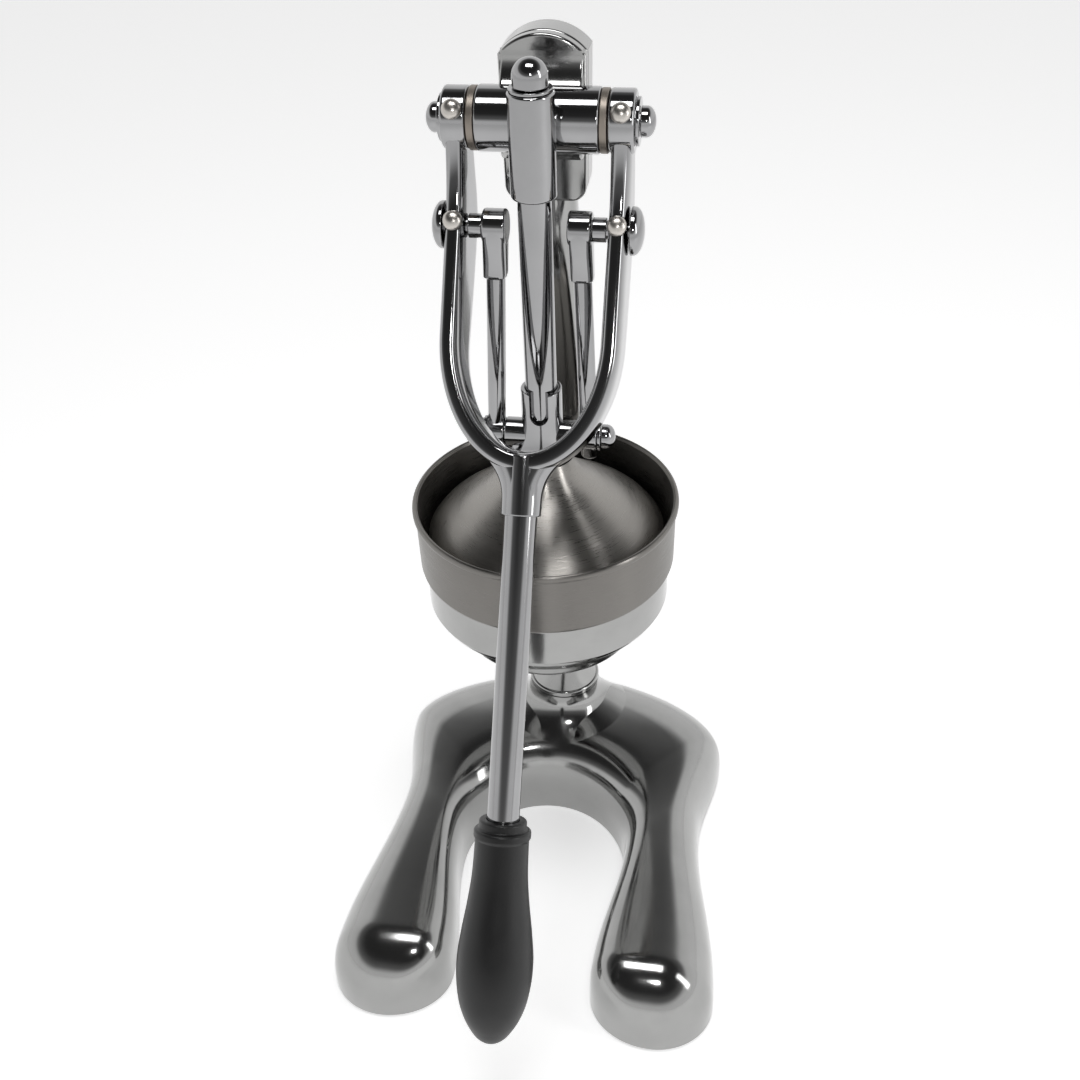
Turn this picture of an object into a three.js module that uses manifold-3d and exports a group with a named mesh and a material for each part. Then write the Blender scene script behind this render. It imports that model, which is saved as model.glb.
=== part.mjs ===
// Lever citrus juice press: a cast horseshoe stand and upright, a bowl in its holder,
// and a forked lever that drives a pressing bell through two links.
// Millimetres, +Z up, the operator stands at -Y. The pressing axis is drawn at x = 0, y = 0,
// and the finished press is then moved so that the middle of its footprint is the origin.
import * as THREE from 'three';
import { mergeVertices } from 'three/addons/utils/BufferGeometryUtils.js';
import Module from 'manifold-3d';

const wasm = await Module();
wasm.setup();

// Fits and overruns
const clearance = 0.3;              // between pieces that touch or turn in each other
const overrun = 3;                  // how far a cutting tool runs past a face

// Facets round turned pieces
const fastenerSteps = 10;
const smallSteps = 16;
const largeSteps = 28;
const stemSteps = 20;
const gripSteps = 18;
const cornerSteps = 3;
const plateCornerSteps = 4;
const armSteps = 12;                // round a section of the fork or of a link
const nutSides = 6;

// Lever pivot and linkage
const pivotHeight = 446;            // lever pivot above the table
const pivotSetback = 22;            // lever pivot behind the pressing axis
const crankRadius = 48.6;           // lever pivot to crank pin
const crankSetAngle = 14.4;         // degrees between crank arm and handle line
const leverRestAngle = 33;          // degrees of the handle from vertical, lever down
const linkLength = 110;             // crank pin to plunger pin

// Crosshead: pivot barrel and rod guide in one casting
const barrelDiameter = 30;
const barrelHalfLength = 28.5;
const guideDiameter = 21.6;
const guideDrop = 28;               // the rod guide ends this far below the lever pivot
const guideRise = 20;
const guideChamfer = 1.2;
const webWidth = 39;                // web that meets the upright, scooped above the barrel
const webDrop = 21;
const webRise = 28;
const webScoopRise = 13;
const plateDepth = 6.5;             // plate against the upright's head
const crossBoltSpacing = 25;
const crossBoltDiameter = 6;
const crossBoltLength = 27.5;
const crossBoltHead = 10;
const crossBoltHeadHeight = 6;

// Pivot shaft, bushes, washers and nuts
const shaftDiameter = 12;
const bushWall = 2.4;
const bushFlangeDiameter = 29;
const bushLength = 20;
const pivotWasherDiameter = 22;
const pivotWasherThickness = 1.6;
const pivotNutDiameter = 14;
const pivotNutHeight = 6.8;
const pivotNutSkirt = 2.6;
const pivotStudDiameter = 8;
const pivotStudLength = 4.4;

// Lock screws in the fork
const lockHeadDiameter = 9.4;
const lockHeadRise = 3.2;
const lockShankDiameter = 5;
const lockShankLength = 5.5;
const lockSeatDepth = 0.8;

// Fork
const armCentre = 38.5;             // middle of each fork arm from the centre plane
const armWidth = 10.8;
const armFront = 12.5;              // depth of an arm in front of the pins' line and behind it
const armRear = 27;
const armRearAtBoss = 12;
const bowFront = 9;
const bowRear = 10;
const armDepthShare = 3;            // how late the arms thin towards the bow
const armShare = 0.42;              // squareness of the arm's section
const bossDiameter = 29;
const bossWidth = 12;
const bossChamfer = 1.5;
const bowReach = 110.5;             // crank pin to the middle of the bow's bottom
const bowStart = 53;                // the arms run straight down to here
const socketDiameter = 19.4;
const socketSink = 3.5;             // the socket starts this far above the bow's bottom
const socketLength = 29;
const socketChamfer = 0.8;

// Handle rod and grip
const handleDiameter = 16;
const rodInSocket = 22;
const gripStart = 285;              // below the crank pin, along the handle
const gripLength = 114;
const gripDiameter = 38;
const rodInGrip = 60;
const gripShares = [
  [0, 0.62], [0.04, 0.62], [0.05, 0.735], [0.07, 0.745], [0.1, 0.71], [0.26, 0.735],
  [0.37, 0.81], [0.5, 0.93], [0.62, 1], [0.74, 0.965], [0.84, 0.82], [0.92, 0.6], [0.975, 0.33],
  [1, 0],
];

// Crank pins and spacers
const crankPinDiameter = 8;
const crankHeadDiameter = 22.6;
const crankHeadRise = 6.4;
const crankHeadSkirt = 1.5;
const spacerDiameter = 11.6;

// Links
const linkTopCentre = 20.3;
const linkTopWidth = 11.4;
const linkTopDiameter = 17;
const linkBoreDepth = 8;
const linkLowCentre = 24.2;
const linkLowWidth = 9;
const linkLowDiameter = 15;
const linkShankDiameter = 9.2;
const linkTail = 13;                // the shank runs on this far below the plunger pin
const linkFittingLength = 24;       // tapering fitting below the upper eye
const linkFittingTip = 11.4;

// Press rod, its washer and its nut
const rodDiameter = 16;
const rodSeat = 2;                  // rod's foot above the plunger pins
const rodStudDiameter = 10;
const rodStudLength = 10;
const rodNutDiameter = 16.4;
const rodNutHeight = 12.6;
const rodNutSkirt = 4.5;
const rodWasherDiameter = 20;
const rodWasherThickness = 1.4;

// Yoke and plunger pins
const yokeRise = 27.5;              // yoke's top above the plunger pins
const yokeDrop = 12.5;              // yoke's foot below the plunger pins
const yokeTopDiameter = 21;
const yokeFootDiameter = 33;
const yokeFootBand = 3;
const yokeBossDiameter = 15;
const yokeBossGap = 0.6;            // between the yoke's boss and the link
const notchWidth = 9.6;
const notchHeight = 17;
const lowerPinDiameter = 8;
const lowerPinInner = 9.6;
const lowerStudDiameter = 6;
const lowerStudLength = 5;
const lowerWasherDiameter = 15;
const lowerWasherThickness = 1.6;
const lowerNutDiameter = 12.4;
const lowerNutHeight = 7;
const lowerNutSkirt = 2.4;

// Pressing bell
const bellTopDiameter = 27;
const bellDiameter = 128;
const bellHeight = 48;
const bellWall = 1.6;
const bellStudDiameter = 8;
const bellNutDiameter = 16;
const bellNutHeight = 5;
const bellShares = [
  [0, 0], [0.05, 0.11], [0.15, 0.25], [0.36, 0.44], [0.66, 0.68], [0.93, 0.9], [1, 1],
];

// Juice bowl
const bellRestRise = 17.33;         // rim of the resting bell above the bowl's step
const bowlRise = 38.6;              // step to rim
const bowlRimDiameter = 143.6;
const bowlDiameter = 140.6;
const bowlBandDiameter = 139.8;     // at the step that rests on the holder
const bowlWall = 1.5;
const bowlLip = 2.2;
const bowlOutletDiameter = 18;
const bowlOutletInset = 1;          // the outlet ends this far inside the drain spout

// Strainer and reamer
const strainerThickness = 1.2;
const strainerSlots = 20;
const strainerSlotInner = 47;
const strainerSlotOuter = 59;
const strainerSlotWidth = 3.2;
const reamerDiameter = 80;
const reamerHeight = 38;
const reamerRibs = 12;
const reamerRibShare = 0.07;
const reamerDomeShare = 1.7;
const reamerSteps = 6;
const reamerWell = 12;              // depth of the hollow under the reamer

// Bowl holder
const holderDiameter = 134;
const holderWallHeight = 23;        // the wall ends this far under the bowl's step
const holderFunnelHeight = 42;
const holderWall = 3.4;
const hubTopDiameter = 44;
const hubDiameter = 38;
const hubLength = 9;
const dishShares = [
  [0, 0], [0.04, 0.083], [0.133, 0.19], [0.238, 0.32], [0.367, 0.548], [0.533, 0.71],
  [0.756, 0.88], [1, 1],
];
const dishLiftShare = 0.4;          // an inner wall also sits this share of its inset higher
const lugWidth = 26;
const lugHeight = 31;
const lugDrop = 5;                  // top of the lug under the bowl's step
const lugBoltSpacing = 19;
const lugBoltDiameter = 6;
const lugBoltLength = 31.5;
const lugBoltHead = 10;
const lugBoltHeadHeight = 6;
const spoutWall = 2;
const spoutLength = 17;
const spoutDrop = 2;                // top of the spout under the funnel

// Upright casting
const uprightSeat = 74;             // its collar stands on the base at this height
const collarDiameter = 44;
const collarHeight = 4;
const neckDiameter = 42;            // flares out to the collar
const uprightLeanShare = 0.3473;    // its foot stands forward by this share of its rise
const uprightWidth = 25;
const uprightDepth = 27;
const uprightSetback = 89;          // middle of the upright behind the bowl
const uprightReachShare = 1.157;    // where it has reached its place, from seat to lug
const uprightFlareShare = 8;
const uprightRiseShare = 1.5;       // sections stand closer together near the collar
const uprightBendRise = 11.4;       // the upright leans forward this far above the bowl
const uprightTopSetback = 52;
const uprightShare = 0.8;
const seatFaceSetback = 73;         // flat seat for the holder's lug
const headFaceSetback = 38;         // flat face behind the barrel
const headDepth = 17;
const headWidth = 41;
const headFootWidth = 39.6;
const headDrop = 43;                // foot of the head under the lever pivot
const headArchRise = 9.5;
const headCorner = 7;
const headShoulderRise = 26;        // the arched top starts here above the lever pivot
const headEdge = 1;

// Base casting
const baseLift = 2;                 // gap under the casting, which stands on its feet
const saddleHeight = 56;            // casting round the upright's pedestal
const legHeight = 48;
const dropHeight = 46;
const baseWall = 5;
const hollowShare = 4;              // the hollow stops where the casting is this many walls wide
const archApex = -1.5;
const archHalfWidth = 50;
const archWidest = -54;
const baseRear = 92;
const rearShare = 1.14;
const shoulderHalfWidth = 104;
const shoulderPlace = 44;
const neckHalfWidth = 94;
const neckPlace = -22;
const dropHalfWidth = 109;
const dropPlace = -135;
const dropInner = 39.7;
const dropCentreShare = 0.524;
const dropFront = -165;
const innerWallShare = 0.5;         // steep wall round the arch
const outerWallShare = 0.84;        // rounder slope outside
const pedestalFoot = 46;            // the pedestal under the upright flares down to here
const pedestalFootDiameter = 74;
const pedestalCrown = 12;           // solid under the upright's collar
const pedestalBore = 32;

// Feet, their screws and the upright's bolts
const footDiameter = 24;
const footHeight = 7;
const footEdge = 1.5;
const footFloor = 3.4;
const footPostDiameter = 20;
const footScrewDiameter = 4;
const footScrewLength = 12;
const footScrewHead = 8;
const footScrewHeadHeight = 2;
const rearFootShare = 0.7;
const uprightBoltDiameter = 6;
const uprightBoltHead = 10;
const uprightBoltHeadHeight = 6;
const uprightBoltReach = 14;        // into the upright's foot
const uprightBoltSpacing = 18;

// Finishes as [colour, roughness, metalness]
const finishes = {
  polished: [0xb9bab8, 0.12, 1],
  chrome: [0xc6c8ca, 0.08, 1],
  brushed: [0x9b9890, 0.42, 1],
  nickel: [0xc9c0b6, 0.3, 1],
  bronze: [0xb59a86, 0.35, 1],
  steel: [0x8f9194, 0.4, 1],
  grip: [0x17181a, 0.62, 0],
  rubber: [0x1b1b1c, 0.85, 0],
};

const degrees = Math.PI / 180;
const sides = [['left', -1], ['right', 1]];
const along = (from, to, share) => from + (to - from) * share;
const eased = (share) => (1 - Math.cos(Math.PI * share)) / 2;
const counted = (count, make) => Array.from({ length: count }, (_, k) => make(k));

// Places worked out from the linkage
const crankOffset = crankRadius * Math.sin(crankSetAngle * degrees);
const crankDrop = crankRadius * Math.cos(crankSetAngle * degrees);
const crankAngle = (leverRestAngle - crankSetAngle) * degrees;
const crankPlace = {
  y: pivotSetback - crankRadius * Math.sin(crankAngle),
  z: pivotHeight - crankRadius * Math.cos(crankAngle),
};
const linkTilt = Math.asin(crankPlace.y / linkLength);
const plungerHeight = crankPlace.z - linkLength * Math.cos(linkTilt);
const armInner = armCentre - armWidth / 2;
const armOuter = armCentre + armWidth / 2;
const bossInner = armCentre - bossWidth / 2;
const bossOuter = armCentre + bossWidth / 2;
const guideBottom = pivotHeight - guideDrop;
const guideTop = pivotHeight + guideRise;
const headBottom = pivotHeight - headDrop;
const headShoulder = pivotHeight + headShoulderRise;
const headTop = headShoulder + headArchRise;
const socketTop = bowReach - socketSink;
const socketBottom = socketTop + socketLength;

// Places of the bowl, which stands under the resting bell, and of what carries it
const bellRim = plungerHeight - yokeDrop - clearance - bellHeight;
const bowlStep = bellRim - bellRestRise;
const bowlRimHeight = bowlStep + bowlRise;
const holderShoulder = bowlStep - holderWallHeight;
const holderFloor = holderShoulder - holderFunnelHeight;
const hubEnd = holderFloor - hubLength;
const spoutTop = holderFloor - spoutDrop;
const spoutEnd = spoutTop - spoutLength;
const bowlOutletEnd = spoutEnd + bowlOutletInset;
const lugTop = bowlStep - lugDrop;
const lugBottom = lugTop - lugHeight;
const uprightRiseTop = along(uprightSeat, lugBottom, uprightReachShare);
const uprightFootSetback = uprightSetback - (uprightRiseTop - uprightSeat) * uprightLeanShare;
const uprightBend = bowlRimHeight + uprightBendRise;
const dropCentre = along(dropInner, dropHalfWidth, dropCentreShare);

// Shared corners merged, flat slivers dropped and faces turned outwards.
function closed(geometry) {
  const bare = geometry.clone();
  bare.deleteAttribute('normal');
  bare.deleteAttribute('uv');
  const merged = mergeVertices(bare);
  const places = merged.getAttribute('position');
  const corners = Array.from(merged.getIndex().array);
  const faces = [];
  let volume = 0;
  const [a, b, c] = counted(3, () => new THREE.Vector3());
  for (let i = 0; i < corners.length; i += 3) {
    const face = corners.slice(i, i + 3);
    if (new Set(face).size < 3) continue;
    faces.push(face);
    [a, b, c].forEach((corner, k) => corner.fromBufferAttribute(places, face[k]));
    volume += a.dot(b.cross(c));
  }
  const ordered = volume < 0 ? faces.map(([p, q, r]) => [p, r, q]) : faces;
  merged.setIndex(ordered.flat());
  merged.computeVertexNormals();
  return merged;
}

// A solid for joining and cutting, and the geometry that comes back.
function solidOf(geometry) {
  const body = closed(geometry);
  return new wasm.Manifold(new wasm.Mesh({
    numProp: 3,
    vertProperties: new Float32Array(body.getAttribute('position').array),
    triVerts: new Uint32Array(body.getIndex().array),
  }));
}

function geometryOf(solid) {
  const mesh = solid.getMesh();
  const geometry = new THREE.BufferGeometry();
  geometry.setAttribute('position', new THREE.BufferAttribute(mesh.vertProperties, 3));
  geometry.setIndex(new THREE.BufferAttribute(mesh.triVerts, 1));
  geometry.computeVertexNormals();
  return geometry;
}

const joined = (...parts) => geometryOf(
  parts.map(solidOf).reduce((all, next) => all.add(next)),
);

const carved = (body, ...tools) => geometryOf(
  tools.map(solidOf).reduce((left, tool) => left.subtract(tool), solidOf(body)),
);

const within = (body, limit) => geometryOf(solidOf(body).intersect(solidOf(limit)));

// A closed skin over rings of points, each ring as long as the next; the ends are capped.
function skin(rings) {
  const points = rings.flat();
  const count = rings[0].length;
  const index = [];
  for (let ring = 0; ring + 1 < rings.length; ring += 1) {
    for (let k = 0; k < count; k += 1) {
      const p = ring * count + k;
      const q = ring * count + ((k + 1) % count);
      index.push(p, q, q + count, p, q + count, p + count);
    }
  }
  [0, rings.length - 1].forEach((ring) => {
    const centre = new THREE.Vector3();
    rings[ring].forEach((point) => centre.addScaledVector(point, 1 / count));
    const middle = points.push(centre) - 1;
    for (let k = 0; k < count; k += 1) {
      const pair = [ring * count + k, ring * count + ((k + 1) % count)];
      index.push(middle, ...(ring ? pair : pair.reverse()));
    }
  });
  const geometry = new THREE.BufferGeometry().setFromPoints(points);
  geometry.setIndex(index);
  return closed(geometry);
}

// Points of a rounded section: a share of 1 is an ellipse, lower shares are squarer.
function sectionPoints(halfWidth, halfDepth, share, count) {
  return counted(count, (k) => {
    const turn = (2 * Math.PI * (k + 0.5)) / count;
    const [c, s] = [Math.cos(turn), Math.sin(turn)];
    return [
      halfWidth * Math.sign(c) * Math.abs(c) ** share,
      halfDepth * Math.sign(s) * Math.abs(s) ** share,
    ];
  });
}

// A turned piece about +Z from a closed profile of [radius, height] points.
function turned(profile, steps = smallSteps) {
  const points = profile.map(([radius, height]) => new THREE.Vector2(radius, height));
  return closed(new THREE.LatheGeometry(points, steps).rotateX(Math.PI / 2));
}

// Quarter of an ellipse as profile points, from the side at [r0, z0] to the flat at [r1, z1].
function quarter([r0, z0], [r1, z1], steps) {
  return counted(steps + 1, (k) => {
    const turn = (Math.PI / 2) * (k / steps);
    return [along(r1, r0, Math.cos(turn)), along(z0, z1, Math.sin(turn))];
  });
}

const cylinder = (diameter, low, high, steps = smallSteps) => turned([
  [0, low], [diameter / 2, low], [diameter / 2, high], [0, high],
], steps);

const chamfered = (diameter, low, high, chamfer, steps = smallSteps) => turned([
  [0, low], [diameter / 2 - chamfer, low], [diameter / 2, low + chamfer],
  [diameter / 2, high - chamfer], [diameter / 2 - chamfer, high], [0, high],
], steps);

const ring = (bore, diameter, low, high, steps = smallSteps) => turned([
  [bore / 2, low], [diameter / 2, low], [diameter / 2, high], [bore / 2, high], [bore / 2, low],
], steps);

// A bolt or stepped pin along +Z: stretches of [diameter, length] one on another.
function stepped(start, stretches, steps = fastenerSteps) {
  const profile = [[0, start]];
  let height = start;
  stretches.forEach(([diameter, length]) => {
    profile.push([diameter / 2, height], [diameter / 2, height + length]);
    height += length;
  });
  return turned([...profile, [0, height]], steps);
}

// A dome nut that stands on z = 0, with a blind bore for its stud.
function domeNut(diameter, skirt, height, bore, boreDepth) {
  return turned([
    [bore / 2, 0], [diameter / 2, 0],
    ...quarter([diameter / 2, skirt], [0, height], cornerSteps),
    [0, boreDepth], [bore / 2, boreDepth], [bore / 2, 0],
  ], fastenerSteps);
}

// Turns a piece made along +Z so that it points along +X (side 1) or -X (side -1).
const sideways = (geometry, side = 1) => geometry.clone().rotateY((side * Math.PI) / 2);

// Turns a piece made along +Z so that it points along -Y or +Y.
const forwards = (geometry) => geometry.clone().rotateX(Math.PI / 2);
const backwards = (geometry) => geometry.clone().rotateX(-Math.PI / 2);

const moved = (geometry, x, y, z) => geometry.clone().translate(x, y, z);

function piece(name, geometry, finish, x = 0, y = 0, z = 0) {
  const [color, roughness, metalness] = finishes[finish];
  const material = new THREE.MeshStandardMaterial({ color, roughness, metalness });
  const mesh = new THREE.Mesh(geometry, material);
  mesh.name = name;
  mesh.position.set(x, y, z);
  return mesh;
}

// Base casting

// Plan stretches: a quarter turn that leaves the centre plane square to it, a sway from one
// width to the next, and the rounded end of a leg.
const turnIn = ([x0, y0], [x1, y1], steps, share) => counted(steps, (k) => {
  const turn = (Math.PI / 2) * (k / steps);
  return [along(x0, x1, Math.sin(turn) ** share), along(y1, y0, Math.cos(turn) ** share)];
});
const sway = ([x0, y0], [x1, y1], steps) => counted(steps, (k) => (
  [along(x0, x1, eased(k / steps)), along(y0, y1, k / steps)]));
const tipOff = ([x0, y0], [x1, y1], steps) => counted(steps + 1, (k) => {
  const turn = (Math.PI / 2) * (k / steps);
  return [along(x1, x0, Math.cos(turn)), along(y0, y1, Math.sin(turn))];
});

const archSteps = 8;
const shoulderSteps = 5;
const shinSteps = 4;
const tipSteps = 6;
const shellSteps = 13;
const hollowSteps = 9;

// Stations from the rear middle to a leg's tip: the casting's inner and outer edge and ridge.
function baseStations() {
  const inner = [
    ...turnIn([0, archApex], [archHalfWidth, archWidest], archSteps, 1),
    ...sway([archHalfWidth, archWidest], [dropInner, dropPlace], shinSteps),
    ...tipOff([dropInner, dropPlace], [dropCentre, dropFront], tipSteps),
  ];
  const outer = [
    ...turnIn([0, baseRear], [shoulderHalfWidth, shoulderPlace], shoulderSteps, rearShare),
    ...sway([shoulderHalfWidth, shoulderPlace], [neckHalfWidth, neckPlace],
      archSteps - shoulderSteps),
    ...sway([neckHalfWidth, neckPlace], [dropHalfWidth, dropPlace], shinSteps),
    ...tipOff([dropHalfWidth, dropPlace], [dropCentre, dropFront], tipSteps),
  ];
  const ridges = [
    ...counted(archSteps, (k) => along(saddleHeight, legHeight, eased(k / archSteps))),
    ...counted(shinSteps, (k) => along(legHeight, dropHeight, eased(k / shinSteps))),
    ...counted(tipSteps + 1, (k) => (
      along(baseLift, dropHeight, Math.cos((Math.PI / 2) * (k / tipSteps)) ** outerWallShare))),
  ];
  return inner.map((edge, k) => ({ inner: edge, outer: outer[k], ridge: ridges[k] }));
}

// One section of the casting across a station, drawn in all round by a wall's thickness.
function baseSection({ inner, outer, ridge }, wall) {
  const sectionSteps = wall ? hollowSteps : shellSteps;
  const floor = wall ? baseLift - overrun : baseLift;
  const span = Math.hypot(outer[0] - inner[0], outer[1] - inner[1]);
  const [middleX, middleY] = [0, 1].map((k) => (inner[k] + outer[k]) / 2);
  const [ux, uy] = span ? [0, 1].map((k) => (outer[k] - inner[k]) / span) : [1, 0];
  const height = Math.max(ridge - wall - baseLift, 0);
  return counted(sectionSteps, (k) => {
    const turn = Math.PI * (k / (sectionSteps - 1));
    const [c, s] = [Math.cos(turn), Math.sin(turn)];
    const share = c > 0 ? innerWallShare : outerWallShare;
    const across = -Math.sign(c) * Math.abs(c) ** share * (span / 2 - wall);
    const risen = k % (sectionSteps - 1);
    return new THREE.Vector3(
      middleX + ux * across,
      middleY + uy * across,
      risen ? baseLift + s ** share * height : floor,
    );
  });
}

// The horseshoe as a solid from tip to tip, drawn in all round by a wall's thickness.
function horseshoe(wall) {
  const right = baseStations()
    .filter(({ inner, outer }) => (
      Math.hypot(outer[0] - inner[0], outer[1] - inner[1]) >= hollowShare * wall))
    .map((station) => baseSection(station, wall));
  const left = right.slice(1).map((section) => section.map(({ x, y, z }) => (
    new THREE.Vector3(-x, y, z))));
  return skin([...left.reverse(), ...right]);
}

function footPlaces() {
  const { inner, outer } = baseStations()[Math.floor(archSteps / 2)];
  const rear = [0, 1].map((k) => along(inner[k], outer[k], rearFootShare));
  return sides.flatMap(([, side]) => [
    [side * dropCentre, dropPlace],
    [side * rear[0], rear[1]],
  ]);
}

const atFeet = (geometry) => footPlaces().map(([x, y]) => moved(geometry, x, y, 0));

const uprightBoltPlaces = [-uprightBoltSpacing / 2, uprightBoltSpacing / 2];
const crownUnder = uprightSeat - pedestalCrown;

// A hollow shell with a post over each foot and a pedestal that carries the upright.
function baseCasting() {
  const outer = horseshoe(0);
  const posts = atFeet(cylinder(footPostDiameter, footHeight + clearance, saddleHeight));
  const pedestal = turned([
    [0, pedestalFoot],
    ...quarter([collarDiameter / 2, uprightSeat], [pedestalFootDiameter / 2, pedestalFoot],
      2 * cornerSteps).reverse(),
    [0, uprightSeat],
  ], largeSteps);
  const bore = cylinder(pedestalBore, baseLift, crownUnder);
  const screwHole = cylinder(footScrewDiameter + 2 * clearance, 0,
    footFloor + footScrewLength + clearance, fastenerSteps);
  const boltHole = cylinder(uprightBoltDiameter + 2 * clearance, crownUnder - overrun,
    uprightSeat + overrun, fastenerSteps);
  return carved(
    joined(
      carved(outer, horseshoe(baseWall)),
      within(joined(...posts), outer),
      moved(pedestal, 0, uprightFootSetback, 0),
    ),
    moved(bore, 0, uprightFootSetback, 0),
    ...atFeet(screwHole),
    ...uprightBoltPlaces.map((x) => moved(boltHole, x, uprightFootSetback, 0)),
  );
}

function foot() {
  const bore = footScrewDiameter / 2 + clearance;
  const well = footScrewHead / 2 + clearance;
  return turned([
    [bore, footFloor], [well, footFloor], [well, 0], [footDiameter / 2 - footEdge, 0],
    [footDiameter / 2, footEdge], [footDiameter / 2, footHeight], [bore, footHeight],
    [bore, footFloor],
  ], fastenerSteps);
}

const footScrew = () => stepped(footFloor - clearance - footScrewHeadHeight, [
  [footScrewHead, footScrewHeadHeight], [footScrewDiameter, footScrewLength],
]);

const uprightBolt = () => stepped(crownUnder - clearance - uprightBoltHeadHeight, [
  [uprightBoltHead, uprightBoltHeadHeight],
  [uprightBoltDiameter, pedestalCrown + uprightBoltReach],
]);

// Upright casting

// Sections of the upright: a round collar on the base, a neck that thins and bends back
// behind the bowl, and a lean forward to the head.
function uprightSkin() {
  const riseSteps = 12;
  const leanSteps = 8;
  const leanTop = headBottom + headCorner;
  const collar = collarDiameter / 2;
  const foot = uprightSeat + clearance;
  const sections = [
    [foot, collar, collar, uprightFootSetback, 1],
    [foot + collarHeight, collar, collar, uprightFootSetback, 1],
    ...counted(riseSteps + 1, (k) => {
      const rise = (k / riseSteps) ** uprightRiseShare;
      const spread = (1 - rise) ** uprightFlareShare;
      return [
        along(foot + collarHeight, uprightRiseTop, rise),
        along(uprightWidth, neckDiameter, spread) / 2,
        along(uprightDepth, neckDiameter, spread) / 2,
        along(uprightFootSetback, uprightSetback, eased(rise)),
        along(uprightShare, 1, spread),
      ];
    }),
    ...counted(leanSteps + 1, (k) => [
      along(uprightBend, leanTop, k / leanSteps),
      uprightWidth / 2,
      uprightDepth / 2,
      along(uprightSetback, uprightTopSetback, eased(k / leanSteps)),
      uprightShare,
    ]),
    [headShoulder - headCorner, uprightWidth / 2, uprightDepth / 2, uprightTopSetback,
      uprightShare],
  ];
  return skin(sections.map(([z, halfWidth, halfDepth, y, share]) => (
    sectionPoints(halfWidth, halfDepth, share, stemSteps)
      .map(([px, py]) => new THREE.Vector3(px, y + py, z)))));
}

// Front outline of the upright's head: straight sides, rounded foot and an arched top.
function headOutline() {
  const half = headWidth / 2;
  const footHalf = headFootWidth / 2;
  const arch = headTop - headShoulder;
  const radius = (half * half + arch * arch) / (2 * arch);
  const centre = headTop - radius;
  const spring = Math.asin((headShoulder - centre) / radius);
  const outline = new THREE.Shape();
  outline.moveTo(-footHalf + headCorner, headBottom);
  outline.lineTo(footHalf - headCorner, headBottom);
  outline.absarc(footHalf - headCorner, headBottom + headCorner, headCorner, -Math.PI / 2, 0);
  outline.lineTo(half, headShoulder);
  outline.absarc(0, centre, radius, spring, Math.PI - spring);
  outline.lineTo(-footHalf, headBottom + headCorner);
  outline.absarc(-footHalf + headCorner, headBottom + headCorner, headCorner,
    Math.PI, 1.5 * Math.PI);
  return outline;
}

// A plate drawn in front view and given its depth backwards, from y = front to y = back.
function plateBetween(outline, front, back, edge) {
  const plate = new THREE.ExtrudeGeometry(outline, {
    depth: back - front - 2 * edge,
    bevelEnabled: true,
    bevelSize: edge,
    bevelOffset: -edge,
    bevelThickness: edge,
    bevelSegments: 2,
    curveSegments: plateCornerSteps,
  });
  return moved(plate.rotateX(Math.PI / 2), 0, back - edge, 0);
}

const uprightRear = uprightSetback + uprightDepth / 2;
const headRear = headFaceSetback + headDepth;
const stemRear = uprightTopSetback + uprightDepth / 2;

// Two pairs of bolts that come in from the back, their heads sunk level with the casting.
const lugBolts = {
  shank: [lugBoltDiameter, lugBoltLength],
  head: [lugBoltHead, lugBoltHeadHeight],
  tip: uprightRear - lugBoltLength - lugBoltHeadHeight,
  heights: [-1, 1].map((side) => (lugBottom + lugTop + side * lugBoltSpacing) / 2),
};
const crossBolts = {
  shank: [crossBoltDiameter, crossBoltLength],
  head: [crossBoltHead, crossBoltHeadHeight],
  tip: stemRear - crossBoltLength - crossBoltHeadHeight,
  heights: [-1, 1].map((side) => pivotHeight + (side * crossBoltSpacing) / 2),
};

const rearBolts = (name, { shank, head, tip, heights }) => heights.map((z, k) => (
  piece(`${name}_${k + 1}`, backwards(stepped(0, [shank, head])), 'steel', 0, tip, z)));

// Holes and counterbores for a pair of those bolts.
const boltBores = ({ shank, head, tip, heights }) => heights.map((z) => (
  moved(backwards(stepped(-clearance, [
    [shank[0] + 2 * clearance, shank[1]],
    [head[0] + 2 * clearance, head[1] + clearance + overrun],
  ])), 0, tip, z)));

function uprightCasting() {
  const head = plateBetween(headOutline(), headFaceSetback, headRear, headEdge);
  const seat = moved(new THREE.BoxGeometry(
    lugWidth, uprightSetback - seatFaceSetback, lugTop - lugBottom,
  ), 0, (uprightSetback + seatFaceSetback) / 2, (lugTop + lugBottom) / 2);
  const lugRoom = moved(new THREE.BoxGeometry(
    lugWidth + 2 * clearance, uprightDepth, lugTop - lugBottom + 2 * clearance,
  ), 0, seatFaceSetback - uprightDepth / 2, (lugTop + lugBottom) / 2);
  const footBore = cylinder(uprightBoltDiameter + 2 * clearance, uprightSeat - overrun,
    uprightSeat + uprightBoltReach + clearance, fastenerSteps);
  return carved(
    joined(uprightSkin(), head, seat),
    lugRoom,
    ...uprightBoltPlaces.map((x) => moved(footBore, x, uprightFootSetback, 0)),
    ...boltBores(lugBolts),
    ...boltBores(crossBolts),
  );
}

// Crosshead: pivot barrel, rod guide and the web that is bolted to the upright.
const bushBore = shaftDiameter + 2 * clearance;
const bushDiameter = bushBore + 2 * bushWall;

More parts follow.
